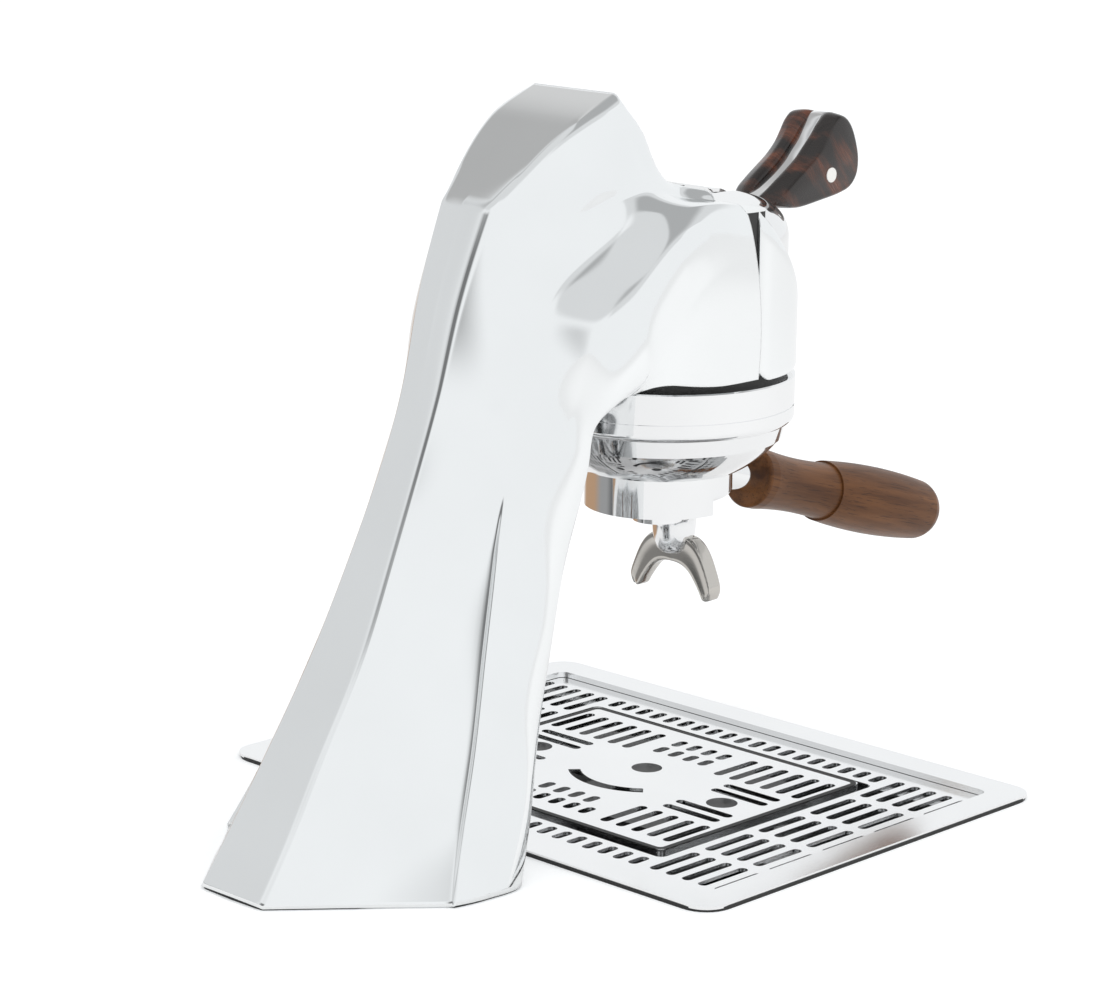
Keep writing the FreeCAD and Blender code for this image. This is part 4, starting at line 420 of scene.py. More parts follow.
@dataclass(frozen=True)
class Rosewood(Finish):
    """Polished rosewood: near-black streaks that run across warm red-brown patches.

    Both are noise that is stretched along the pattern's own axes, which a turn about the model's X
    axis lays along the paddle.
    """

    dark: Colour = rgb(0.012, 0.008, 0.007)
    warm: Colour = rgb(0.16, 0.045, 0.018)
    centre: tuple[float, float, float] = (0.0, GROUP_Y - 0.1, 0.29)
    slope: float = 0.7
    patch_scale: tuple[float, float, float] = (40.0, 90.0, 22.0)
    streak_scale: tuple[float, float, float] = (200.0, 900.0, 120.0)
    patch_strength: float = 0.55
    patch_edges: tuple[float, float] = (0.45, 0.72)
    streak_strength: float = 0.6
    streak_edges: tuple[float, float] = (0.3, 0.7)
    streak_share: float = 0.45
    streak_bump: float = 0.08
    streak_depth: float = 0.2 * MM
    roughness: float = 0.22
    wander: float = 0.1
    polish: float = 0.22
    polish_wander: float = 0.1
    polish_roughness: float = 0.12

    def material(self) -> bpy.types.Material:
        """Makes the wood.

        Returns:
            The finished material.
        """
        material, recipe = fresh_material(self.name)
        where = recipe.places(turn=(self.slope, 0, 0), shift=self.centre)
        patches = recipe.noise(recipe.scaled(where, self.patch_scale), 1.0, CLOUD_LAYERS,
                               self.patch_strength)
        streaks = recipe.noise(recipe.scaled(where, self.streak_scale), 1.0, CLOUD_LAYERS,
                               self.streak_strength)
        streaked = (1 - self.streak_share) + self.streak_share * streaks.step(*self.streak_edges)
        recipe.surface({
            "Base Color": recipe.mix(patches.step(*self.patch_edges) * streaked, self.dark, self.warm),
            "Roughness": self.roughness + self.wander * streaks,
            "Coat Weight": self.polish + self.polish_wander * patches,
            "Coat Roughness": self.polish_roughness,
            "Normal": recipe.bump(streaks, self.streak_bump, self.streak_depth),
        })
        return material


FINISHES = (
    PolishedMetal("chrome_casting", rgb(0.925, 0.94, 0.945), 0.05, 0.03, 0.02),
    PolishedMetal("chrome_trim", rgb(0.91, 0.915, 0.92), 0.03, 0.02, 0.0),
    PolishedMetal("tray_steel", rgb(0.95, 0.955, 0.96), 0.1, 0.04, 0.0),
    PolishedMetal("spout_steel", rgb(0.6, 0.575, 0.54), 0.07, 0.06, 0.05, 60.0),
    # Painted shade: inner_steel is made near black, so that the tray's insides seen through the slots look
    # as dark as their shade.
    PolishedMetal("inner_steel", grey(0.12), 0.4, 0.08),
    PolishedMetal("screw_steel", rgb(0.55, 0.55, 0.56), 0.2, 0.08),
    PolishedMetal("brass", rgb(0.75, 0.52, 0.22), 0.2, 0.08),
    PolishedMetal("cell_aluminium", rgb(0.3, 0.3, 0.31), 0.4, 0.06),
    Walnut("walnut"),
    Rosewood("rosewood"),
    MouldedPlastic("cream_pin", rgb(0.8, 0.79, 0.75), 0.3, 0.03),
    MouldedPlastic("black_rubber", grey(0.012), 0.55, 0.15),
    MouldedPlastic("black_plastic", grey(0.018), 0.38, 0.1),
    MouldedPlastic("tube_plastic", rgb(0.75, 0.77, 0.78), 0.35, 0.05),
)


def ramp(value: Any, start: float, end: float) -> Any:
    """A straight rise from 0 where a value is at the start to 1 at the end, in either direction."""
    return np.clip((value - start) / (end - start), 0.0, 1.0)


def hermite(t: np.ndarray, start: np.ndarray, end: np.ndarray, leaving: np.ndarray,
            arriving: np.ndarray) -> np.ndarray:
    """The cubic from a start to an end with given tangents, in Hermite's form.

    Args:
        t: The places along it, from 0 to 1.
        start: Where it starts.
        end: Where it ends.
        leaving: Its tangent at the start.
        arriving: Its tangent at the end.

    Returns:
        The cubic's points.
    """
    return ((2 * t ** 3 - 3 * t ** 2 + 1) * start + (t ** 3 - 2 * t ** 2 + t) * leaving
            + (3 * t ** 2 - 2 * t ** 3) * end + (t ** 3 - t ** 2) * arriving)


def spline_lines(stations: np.ndarray, per_span: int, corners: Sequence[int] = ()) -> np.ndarray:
    """Runs a natural cubic spline through each line of control points.

    The spline's bends at the stations solve the usual three-banded system, in which the bends of
    neighbours weigh the change of slope between their spans, and are nought at both ends.

    Args:
        stations: The control points, one row of points per station.
        per_span: How many rows a span between two stations gets.
        corners: The stations at which the lines may turn sharply, in order.

    Returns:
        The rows of points, with every station's own row among them.
    """
    if corners:
        lower = spline_lines(stations[:corners[-1] + 1], per_span, corners[:-1])
        upper = spline_lines(stations[corners[-1]:], per_span)
        return np.concatenate([lower, upper[1:]])
    count = len(stations)
    gaps = np.linalg.norm(np.diff(stations, axis=0), axis=2).mean(axis=1)
    system = np.eye(count)
    inner = np.arange(1, count - 1)
    system[inner, inner - 1] = gaps[:-1]
    system[inner, inner] = 2 * (gaps[:-1] + gaps[1:])
    system[inner, inner + 1] = gaps[1:]
    slopes = np.diff(stations, axis=0) / gaps[:, None, None]
    right = np.zeros_like(stations)
    right[1:-1] = 6 * np.diff(slopes, axis=0)
    bends = np.linalg.solve(system, right.reshape(count, -1)).reshape(stations.shape)
    share = np.linspace(0.0, 1.0, per_span, endpoint=False)[None, :, None, None]
    gap = gaps[:, None, None, None]
    low, high = stations[:-1, None], stations[1:, None]
    bend_low, bend_high = bends[:-1, None], bends[1:, None]
    rows = (1 - share) * low + share * high + gap ** 2 / 6 * (
        ((1 - share) ** 3 - (1 - share)) * bend_low + (share ** 3 - share) * bend_high)
    return np.concatenate([rows.reshape(-1, *stations.shape[1:]), stations[-1:]])


def across(control: np.ndarray, sharp: np.ndarray, places: np.ndarray) -> np.ndarray:
    """Runs a curve across each row of control points, smooth or sharp at each of them.

    Each span is a Hermite cubic. Where a row is smooth, both sides of a point share the mean of their
    slopes, weighed by the other side's length. Where it is sharp, each side keeps its own slope.

    Args:
        control: The control points, rows by columns by three.
        sharp: How sharply the row turns at each point, from 0 to 1, rows by columns.
        places: The places from 0 to 1 within each span at which the curve is taken.

    Returns:
        The curve's points, rows by points by three.
    """
    gaps = np.linalg.norm(np.diff(control, axis=1), axis=2)[..., None] + TINY
    slopes = np.diff(control, axis=1) / gaps
    before, after = gaps[:, :-1], gaps[:, 1:]
    middle = (after * slopes[:, :-1] + before * slopes[:, 1:]) / (before + after)
    weight = sharp[..., None]
    first = slopes[:, :1] + (1 - weight[:, 1:2]) * (slopes[:, :1] - middle[:, :1])
    last = slopes[:, -1:] + (1 - weight[:, -2:-1]) * (slopes[:, -1:] - middle[:, -1:])
    shared = np.concatenate([first, middle, last], axis=1)
    leaving = shared[:, :-1] + weight[:, :-1] * (2 * slopes - shared[:, 1:] - shared[:, :-1])
    arriving = shared[:, 1:] + weight[:, 1:] * (2 * slopes - shared[:, :-1] - shared[:, 1:])
    curve = hermite(places[None, None, :, None], control[:, :-1, None], control[:, 1:, None],
                    (gaps * leaving)[:, :, None], (gaps * arriving)[:, :, None])
    return np.concatenate([curve.reshape(len(control), -1, 3), control[:, -1:]], axis=1)


def grid_faces(rows: int, columns: int, closed: bool = False) -> np.ndarray:
    """The four corners of every face of a grid.

    Args:
        rows: How many rows of points the grid has.
        columns: How many points a row has.
        closed: Whether the last column joins the first.

    Returns:
        The corners, one face per row.
    """
    lower = np.arange(rows - 1)[:, None] * columns
    first = np.arange(columns if closed else columns - 1)[None, :]
    second = (first + 1) % columns
    upper = lower + columns
    return np.stack([lower + first, lower + second, upper + second, upper + first], axis=-1).reshape(-1, 4)


def closed_curve(points: Points, count: int) -> np.ndarray:
    """Runs a smooth closed curve through points: Hermite cubics from each point to the next.

    The tangent at a point is half of the way from the point before it to the one after.

    Args:
        points: The points, in order.
        count: How many points the curve gets from each point to the next.

    Returns:
        The curve's points, without the first one again.
    """
    ring = np.array(points, dtype=float)
    following = np.roll(ring, -1, axis=0)
    tangent = 0.5 * (following - np.roll(ring, 1, axis=0))
    t = np.linspace(0, 1, count, endpoint=False)[None, :, None]
    curve = hermite(t, ring[:, None], following[:, None], tangent[:, None],
                    np.roll(tangent, -1, axis=0)[:, None])
    return curve.reshape(-1, ring.shape[1])


def inward(ring: np.ndarray, distance: Any) -> np.ndarray:
    """Moves each point of a closed flat curve inwards, square to the line between its neighbours.

    Args:
        ring: The curve's points.
        distance: How far they move, for all of them or for each.

    Returns:
        The moved points.
    """
    following = np.roll(ring, -1, axis=0)
    along = following - np.roll(ring, 1, axis=0)
    along /= np.linalg.norm(along, axis=1, keepdims=True) + TINY
    side = np.stack([-along[:, 1], along[:, 0]], axis=1)
    area = np.sum(ring[:, 0] * following[:, 1] - following[:, 0] * ring[:, 1])
    return ring + side * np.reshape(distance, (-1, 1)) * np.sign(area)


def lying(outline: np.ndarray, height: float) -> np.ndarray:
    """A flat outline of x and y, laid at a height."""
    return np.concatenate([outline, np.full((len(outline), 1), height)], axis=1)


def standing(outline: np.ndarray, x: float) -> np.ndarray:
    """A flat outline of y and z, stood at an x."""
    return np.concatenate([np.full((len(outline), 1), x), outline], axis=1)


def slab(outline: Any, levels: Sequence[tuple[float, float]]) -> np.ndarray:
    """Sections of a flat plate: its outline at each x, moved inwards by what goes with that x."""
    ring = np.array(outline, dtype=float)
    return np.array([standing(inward(ring, inset), x) for x, inset in levels])


def placed(points: np.ndarray) -> np.ndarray:
    """Takes points in millimetres, with y from the group's axis, to the model's own frame."""
    return (points + np.array([0.0, GROUP_Y / MM, 0.0])) * MM


class Stock:
    """The finishes by slot name, each made once, and the pieces that are made from them."""

    def __init__(self) -> None:
        """Makes the material of every slot of the record."""
        self.finishes = {finish.name: finish.material() for finish in FINISHES}
        self.pieces: list[bpy.types.Object] = []

    def dress_nodes(self) -> None:
        """Gives each CAD node the material of its slot in the record."""
        for part in frame["record"]["subparts"]:
            materials = frame["nodes"][part["node"]].data.materials
            materials.clear()
            materials.append(self.finishes[part["material_slot"]])

    @staticmethod
    def soften_nodes() -> None:
        """Gives the group's rings and the portafilter's cup the small soft edges of real ones."""
        for node, width in EDGE_WIDTHS.items():
            edges = frame["nodes"][node].modifiers.new("edges", "BEVEL")
            edges.width = width
            edges.segments = EDGE_SEGMENTS
            edges.limit_method = "ANGLE"
            edges.angle_limit = EDGE_ANGLE

    def piece(self, name: str, points: np.ndarray, faces: Any, body: Body, slot: str,
              nodes: Sequence[str] = (), smooth: bool = True) -> bpy.types.Object:
        """Makes a piece from its points and faces, and tells the frame what it rides on.

        Args:
            name: The piece's name.
            points: The points, in metres.
            faces: The corners of the faces.
            body: The body that it moves with.
            slot: The material slot of the record that it belongs to.
            nodes: The CAD nodes that it stands for.
            smooth: Whether its faces are shaded smooth.

        Returns:
            The piece.
        """
        mesh = bpy.data.meshes.new(name)
        mesh.from_pydata(points.reshape(-1, 3).tolist(), [], [list(face) for face in faces])
        work = bmesh.new()
        work.from_mesh(mesh)
        bmesh.ops.remove_doubles(work, verts=work.verts, dist=WELD)
        bmesh.ops.dissolve_degenerate(work, edges=work.edges, dist=WELD)
        bmesh.ops.recalc_face_normals(work, faces=work.faces)
        work.to_mesh(mesh)
        work.free()
        mesh.polygons.foreach_set("use_smooth", [smooth] * len(mesh.polygons))
        mesh.materials.append(self.finishes[slot])
        made = bpy.data.objects.new(name, mesh)
        bpy.context.scene.collection.objects.link(made)
        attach(made, body.value)
        if nodes:
            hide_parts(*nodes)
        self.pieces.append(made)
        return made

    def loft(self, name: str, sections: np.ndarray, body: Body, slot: str, nodes: Sequence[str] = (),
             smooth: bool = True, split: float = 0.0) -> None:
        """Makes a closed piece: a skin over a row of closed sections, with a face over each end.

        Args:
            name: The piece's name.
            sections: The sections' points, in millimetres, sections by points by three.
            body: The body that it moves with.
            slot: The material slot of the record that it belongs to.
            nodes: The CAD nodes that it stands for.
            smooth: Whether its faces are shaded smooth.
            split: The angle in degrees past which a smooth piece's edges stay sharp, or 0 for none.
        """
        count, size = sections.shape[:2]
        last = (count - 1) * size
        ends = [list(range(size))[::-1], list(range(last, last + size))]
        faces = grid_faces(count, size, closed=True).tolist() + ends
        made = self.piece(name, placed(sections), faces, body, slot, nodes, smooth)
        if split:
            made.modifiers.new("edges", "EDGE_SPLIT").split_angle = math.radians(split)

    def band(self, name: str, outer: np.ndarray, inner: np.ndarray, heights: tuple[float, float],
             body: Body, nodes: Sequence[str] = ()) -> None:
        """Makes a flat black ring with a rectangular section, for the gaskets and for a band of painted
        shade.

        Args:
            name: The ring's name.
            outer: Its outer outline, in metres.
            inner: Its inner outline, with as many points.
            heights: Its lowest and its highest level, in metres.
            body: The body that it moves with.
            nodes: The CAD nodes that it stands for.
        """
        low, high = heights
        rings = [(outer, low), (outer, high), (inner, high), (inner, low), (outer, low)]
        points = np.array([lying(outline, height) for outline, height in rings])
        faces = grid_faces(*points.shape[:2], closed=True)
        self.piece(name, points, faces, body, "black_rubber", nodes, smooth=False)


@dataclass
class Tower:
    """The cast tower: a skin that flares to its foot, arches over the group and ends in two arms.

    Its lines hold one point per station from the foot to the arms, in millimetres as x, y from the
    group's axis and z, for the half with positive x. Where a size names a place along the skin, it is
    counted in stations upwards, or in lines across.
    """

    stock: Stock
    wall: float = 3 * MM
    opening_radius: float = 60.0
    opening_station: int = 8
    arch_end: float = 23.0
    rows_per_span: int = 14
    kink: int = 8
    crest: int = 10
    crease_fades: tuple[float, float] = (5.4, 4.2)
    shoulder_turns: tuple[float, float] = (6.5, 8.0)
    arms_turn: tuple[float, float] = (10.0, 11.0)
    arm_sharpness: float = 0.75
    crown: float = 1.7
    crown_fade: float = 0.45
    brow: float = 34.0
    brow_width: float = 0.9
    lip_height: float = 1.7
    lip_before: float = 0.14
    lip_after: float = 0.9
    lip_power: float = 2.2
    lip_fades: tuple[float, float] = (4.8, 4.3)
    lip_at_foot: float = 0.55
    hollow: float = 1.2
    rounding: float = 0.5
    gasket_insets: tuple[float, float] = (1.2, 9.0)
    gasket_height: float = 1.0
    places: tuple[float, ...] = (
        0.0, 0.02, 0.05, 0.1, 0.18, 0.3, 0.45, 0.6, 0.74, 0.84, 0.89, 0.93, 0.96, 0.985,
    )
    back_crease: Points = (
        (20.4, 269, 1), (19.2, 249, 30), (17.4, 230, 60), (16.1, 205, 100), (14.4, 190, 130),
        (12.4, 167.5, 180), (12.6, 156, 211), (14.2, 146, 246), (16.4, 128.8, 289), (22.6, 86, 326),
        (25, 62, 336), (25, 50, 321), (25, 28.5, 288.5), (38, 18.5, 285),
    )
    flare: Points = (
        (47, 238.5, 1), (42.5, 221, 30), (38.5, 205, 60), (33, 182.5, 100), (30, 169.5, 130),
        (27, 152, 180), (27, 142, 207), (28.5, 135, 236), (31, 115, 266), (37, 79, 287.5),
        (43, 58, 291), (41, 45, 290.5), (40, 28, 286.8), (47, 16.5, 285.4),
    )
    side_crease: Points = (
        (74.4, 207.4, 1), (65.2, 193.4, 29), (58.6, 180.6, 58.5), (49.8, 165.5, 98.5), (44, 155, 128.7),
        (37.4, 138.4, 179), (38, 130, 208), (38.5, 116.5, 241), (40, 97, 260.5), (43, 75.5, 276),
        (51.5, 58, 284.5), (58, 42, 286.5), (59, 27, 286.3), (59, 13.5, 284.5),
    )
    side: Points = (
        (78, 188, 1), (70.5, 176.5, 30), (63.5, 165, 60), (56, 151.5, 100), (50.5, 140, 130),
        (47, 125, 180), (50.5, 112, 203), (55, 106, 230.5), (58, 91.5, 247.5), (60, 76, 259),
        (61.5, 57, 275), (62.4, 41, 280.5), (62.6, 25, 281), (62.4, 11.5, 280),
    )
    front_corner: Points = (
        (77, 169, 1), (70.5, 156.5, 30), (62.5, 144.5, 60), (55, 128.5, 100), (51, 117.5, 130),
        (53, 104, 180), (56, 104, 193), (60, 97, 202), (62, 84, 209), (63.3, 70, 219), (63.9, 50, 243),
        (64.3, 34, 254), (64.6, 20, 258), (64.7, 6.8, 258),
    )
    shoulder: Points = (
        (66, 159, 1), (59, 148, 30), (52, 136, 60), (45, 121, 100), (42, 111, 130), (44, 105, 180),
        (48, 103.5, 190), (54, 98, 199), (58, 86, 205), (62.5, 68, 208.3), (63.5, 48, 205.7),
        (64, 32, 203.6), (64, 18, 203), (63.9, 3, 203),
    )
    centre: Points = (
        (0, 155, 1), (0, 144, 30), (0, 132, 60), (0, 117, 100), (0, 108, 130), (0, 105, 180),
        (0, 104, 190), (0, 99, 198.3), (0, 86, 203), (0, 68, 203), (0, 48, 203), (0, 32, 203),
        (0, 18, 203), (0, 3, 203),
    )

    def half(self) -> np.ndarray:
        """The rows of the half with positive x, from the middle of the back to the middle of the front.

        Splines run up the lines. The middle of the back follows the back crease with x at nought, and
        from the opening upwards the front's last line keeps to a circle around the group's axis.

        Returns:
            The rows of control points, in millimetres.
        """
        lines = [self.back_crease, self.flare, self.side_crease, self.side, self.front_corner,
                 self.shoulder, self.centre]
        stations = np.array(lines, dtype=float).transpose(1, 0, 2)
        middle = stations[:, :1] * (0, 1, 1)
        middle[-1, 0, 1] = self.arch_end
        back = np.concatenate([middle, stations[:, :1]], axis=1)
        rows = np.concatenate([spline_lines(back, self.rows_per_span, (self.kink, self.crest)),
                               spline_lines(stations[:, 1:], self.rows_per_span)], axis=1)
        opened = np.sqrt(np.maximum(0.0, self.opening_radius ** 2 - rows[:, -1, 1] ** 2))
        above = np.arange(len(rows)) > self.opening_station * self.rows_per_span
        rows[:, -1, 0] = np.where(above, opened, 0.0)
        return rows

    def sharpness(self, rows: int) -> np.ndarray:
        """How sharply each row turns at each line from the back crease on.

        The side crease fades on its way up, and the edges of the arms and the shoulder grow sharp, each
        by a straight ramp over the stations.

        Args:
            rows: How many rows there are.

        Returns:
            The sharpness from 0 to 1, rows by lines.
        """
        station = np.arange(rows) / self.rows_per_span
        sharp = np.zeros((rows, len(Line) - 1))
        sharp[:, Line.SIDE_CREASE - 1] = ramp(station, *self.crease_fades)
        arm_edges = self.arm_sharpness * ramp(station, *self.arms_turn)
        sharp[:, Line.SIDE_CREASE - 1:Line.SIDE] += arm_edges[:, None]
        sharp[:, Line.SHOULDER - 1] = ramp(station, *self.shoulder_turns)
        return sharp

    def edged(self, half: np.ndarray) -> np.ndarray:
        """Moves the skin out along its normals where the casting is crowned, and in where it is hollow.

        The crown is a parabola over the back, which doubles over the two stations below the kink and
        fades just above it. The brow is t (1 - t) squared beside the back crease, above the kink. The
        lip rises to the side crease by a power and falls behind it by a smooth step, and the hollow
        beside it is the parabola 4 t (1 - t).

        Args:
            half: The rows of the half, in millimetres.

        Returns:
            The rows with all four shaped.
        """
        out = np.cross(np.gradient(half, axis=0), np.gradient(half, axis=1))
        out /= np.linalg.norm(out, axis=2, keepdims=True) + TINY
        out *= np.where(out[:1, :1, 1:2] < 0, -1.0, 1.0)
        line = np.arange(half.shape[1]) / len(self.places)
        station = (np.arange(len(half)) / self.rows_per_span)[:, None]
        swell = 1 + ramp(station, self.kink - 2, self.kink)
        fade = ramp(station, self.kink + self.crown_fade, self.kink)
        crown = self.crown * swell * fade * np.clip(1 - line ** 2, 0, 1)
        on_brow = ramp(line, Line.BACK_CREASE, Line.BACK_CREASE + self.brow_width)
        brow = self.brow * on_brow * (1 - on_brow) ** 2 * ramp(station, self.kink, self.kink + 1)
        from_foot = self.lip_at_foot + (1 - self.lip_at_foot) * ramp(station, 0, 1)
        low = from_foot * ramp(station, *self.lip_fades)
        rise = ramp(line, Line.SIDE_CREASE - self.lip_before, Line.SIDE_CREASE) ** self.lip_power
        fall = 1 - ramp(line, Line.SIDE_CREASE, Line.SIDE_CREASE + self.lip_after)
        lip = self.lip_height * np.where(line < Line.SIDE_CREASE, rise, fall ** 2 * (3 - 2 * fall)) * low
        on_side = ramp(line, Line.FLARE, Line.SIDE_CREASE)
        sunk = self.hollow * 4 * on_side * (1 - on_side) * low
        return half + (crown + brow + lip - sunk)[..., None] * out

    def skin(self) -> np.ndarray:
        """The whole skin: the half's rows, straight over the back and curved on, and their mirror image.

        Each point is drawn along its row towards the mean of its two neighbours, which rounds the lines.

        Returns:
            The skin's rows of points, in metres and in the model's own frame.
        """
        control = self.half()
        places = np.array(self.places)
        share = places[None, :, None]
        back = (1 - share) * control[:, :1] + share * control[:, 1:2]
        front = across(control[:, 1:], self.sharpness(len(control)), places)
        half = self.edged(np.concatenate([back, front], axis=1))
        rounded = half.copy()
        beside = (half[:, :-2] + half[:, 2:]) / 2
        rounded[:, 1:-1] += self.rounding * (beside - half[:, 1:-1])
        mirrored = rounded[:, ::-1] * (-1, 1, 1)
        return placed(np.concatenate([mirrored, rounded[:, 1:]], axis=1))

    def build(self) -> None:
        """Makes the thin gasket just inside the tower's foot, and the tower's skin with its wall."""
        skin = self.skin()
        foot = skin[0, :-1, :2]
        outer, inner = (inward(foot, inset * MM) for inset in self.gasket_insets)
        self.stock.band("base_gasket_ring", outer, inner, (0.0, self.gasket_height * MM), Body.FRAME,
                        ["base_gasket"])
        tower = self.stock.piece("tower_skin", skin, grid_faces(*skin.shape[:2]), Body.FRAME,
                                 "chrome_casting", ["tower_shell"])
        wall = tower.modifiers.new("wall", "SOLIDIFY")
        wall.thickness = self.wall
        wall.offset = -1.0
        wall.use_even_offset = False


@dataclass
class NoseCover:
    """The pillow-shaped cover on the front half of the group: a bent shell whose borders roll inwards."""

    stock: Stock
    radius: float = 64.0
    inner_radius: float = 60.4
    least_wall: float = 0.2
    rear: float = 2.2
    bottom: float = 201.3
    corner: float = 9.0
    slope: float = 0.87
    slope_height: float = 279.0
    roll_width: float = 8.0
    roll_depth: float = 3.0
    foot_roll: float = 0.4
    foot_steepness: float = 3.0
    split: float = 50.0
    strip_radius: float = 60.2
    strip_wall: float = 1.2
    strip_top: float = 280.5
    strip_rise: float = 2.0
    strip_reach: tuple[float, float, int] = (-3.0, 15.0, 10)
    ledge_gap: float = 0.6
    ledge_inner: float = 33.0
    ledge_low: float = 280.4
    ledge_high: float = 281.8
    ledge_reach: tuple[float, float, int] = (-2.0, 20.0, 14)
    columns: int = 121
    rows: int = 64

    def roll(self, distance: np.ndarray) -> np.ndarray:
        """How far the surface drops at a distance from a border: a quarter of an ellipse."""
        return self.roll_depth * (1 - np.sqrt(1 - np.clip(1 - distance / self.roll_width, 0, 1) ** 2))

    def shell(self) -> np.ndarray:
        """Sections of the shell, upright outlines that stand side by side around the group's axis.

        The top border is a slanted cut through a cylinder, so its height falls with the cosine of the
        angle. The foot's rear corners are quarter circles. The radius drops near each border, where a
        sine and a cosine crowd the columns and the rows.

        Returns:
            The sections' points, in millimetres.
        """
        reach = math.acos(-self.rear / self.radius)
        eased = np.sin(np.linspace(-1, 1, self.columns) * math.pi / 2)
        angle = (eased * reach)[:, None]
        to_rear = self.radius * (reach - np.abs(angle))
        top = self.slope_height - self.slope * self.radius * np.cos(angle)
        share = (1 - np.cos(np.linspace(0, math.pi, self.rows)))[None, :] / 2
        near_rear = np.clip(1 - to_rear / self.corner, 0, 1)
        foot = self.bottom + self.corner * (1 - np.sqrt(1 - near_rear ** 2))
        height = foot + share * (top - foot)
        steep = 1 / np.sqrt(1 + (self.slope * np.sin(angle)) ** 2)
        outer = (self.radius - self.roll(to_rear) - self.roll((top - height) * steep)
                 - self.foot_roll * self.roll((height - foot) * self.foot_steepness))
        inner = np.full_like(outer, self.inner_radius)
        radius = np.concatenate([np.maximum(outer, self.inner_radius + self.least_wall), inner], axis=1)
        level = np.concatenate([height, height[:, ::-1]], axis=1)
        return np.stack([radius * np.sin(angle), -radius * np.cos(angle), level], axis=-1)

    def strips(self, name: str, depth: np.ndarray, edges: Sequence[tuple[Any, float]], slot: str) -> None:
        """Makes a bar on each side of the group that follows its edges from front to back.

        Args:
            name: The bars' name, before the side.
            depth: The places along y.
            edges: The bar's four edges, each a distance sideways at every place and a height.
            slot: The material slot of the record.
        """
        for label, side in SIDES:
            bars = [lying(np.stack([side * sideways, depth], axis=1), height) for sideways, height in edges]
            self.stock.loft(f"{name}_{label}", np.array(bars).transpose(1, 0, 2), Body.FRAME, slot,
                            smooth=False)

    def build(self) -> None:
        """Makes the shell; black strips behind its gaps, which stand for the liner there and paint the
        shade inside the gaps; and the plates beside the cap.
        """
        self.stock.loft("nose_cover_shell", self.shell(), Body.FRAME, "chrome_casting", ["nose_cover"],
                        split=self.split)
        # Painted shade: black strips just inside the hood's wall darken the gaps beside the cover, as the
        # liner and the shade behind them would.
        depth = np.linspace(*self.strip_reach)
        outer, inner = (np.sqrt(radius ** 2 - depth ** 2)
                        for radius in (self.strip_radius, self.strip_radius - self.strip_wall))
        low = self.bottom + self.strip_rise
        self.strips("gap_liner_and_shade", depth, [(outer, self.strip_top), (outer, low), (inner, low),
                                        (inner, self.strip_top)], "black_plastic")
        depth = np.linspace(*self.ledge_reach)
        outer = np.sqrt((self.strip_radius + self.ledge_gap) ** 2 - depth ** 2)
        inner = np.full_like(depth, self.ledge_inner)
        self.strips("hood_ledge", depth, [(outer, self.ledge_low), (outer, self.ledge_high),
                                          (inner, self.ledge_high), (inner, self.ledge_low)],
                    "chrome_casting")


@dataclass
class Bridge:
    """The plate over the group's valve: it slopes to a round nose and, on each side, carries black patches
    of painted shade for a recess and a row of short slots.
    """

    stock: Stock
    half_width: float = 14.0
    soft_edge: float = 0.5
    split: float = 30.0
    shade_inner: float = 0.6
    shade_proud: float = 0.08
    outline: Points = (
        (21, 282), (21, 290.2), (19, 290.2), (8, 289.2), (-4, 287), (-12, 285.8), (-15.5, 284.8),
        (-18, 283), (-19.4, 280.4), (-19.8, 277), (-17.5, 277), (-16.5, 281), (-14, 282),
    )
    recess_shade: Points = ((13, 287.9), (3.5, 286.7), (-4.4, 285.2), (-4.6, 283.2), (3, 283.6), (9, 285.2))
    slot_places: tuple[float, ...] = (15.4, 11.2, 7.0, 2.8)
    slot_half: float = 1.35
    slot_top: float = 289.9
    slope: float = 0.11
    slope_start: float = 19.0
    slot_edges: tuple[float, ...] = (0.9, 0.3, 0.55, 1.15)

    def slot(self, place: float) -> Points:
        """The outline of the black patch that paints the shade of one short slot just under the plate's
        upper edge.

        Args:
            place: The slot's middle along y.

        Returns:
            Its four corners, as y and z.
        """
        top = self.slot_top - self.slope * max(0.0, self.slope_start - place)
        back, front = place + self.slot_half, place - self.slot_half
        return tuple((y, top - drop) for y, drop in zip((back, back, front, front), self.slot_edges))

    def build(self) -> None:
        """Makes the plate, and on each side the black patches of painted shade for its recess and for the
        short slots along its upper edges.
        """
        wide = self.half_width
        flat = wide - self.soft_edge
        levels = ((-wide, self.soft_edge), (-flat, 0.0), (flat, 0.0), (wide, self.soft_edge))
        self.stock.loft("bridge_plate_sloped", slab(self.outline, levels), Body.FRAME, "chrome_trim",
                        ["bridge_plate"], split=self.split)
        # Painted shade: thin black patches, proud of the plate's sides, stand in for the dark of the recess
        # and of the slots.
        for label, side in SIDES:
            levels = ((side * (wide - self.shade_inner), 0.0), (side * (wide + self.shade_proud), 0.0))
            shade_patches = {f"bridge_recess_shade_{label}": self.recess_shade}
            for number, place in enumerate(self.slot_places, start=1):
                shade_patches[f"bridge_slot_{label}_{number}"] = self.slot(place)
            for name, outline in shade_patches.items():
                self.stock.loft(name, slab(outline, levels), Body.FRAME, "black_plastic", smooth=False)


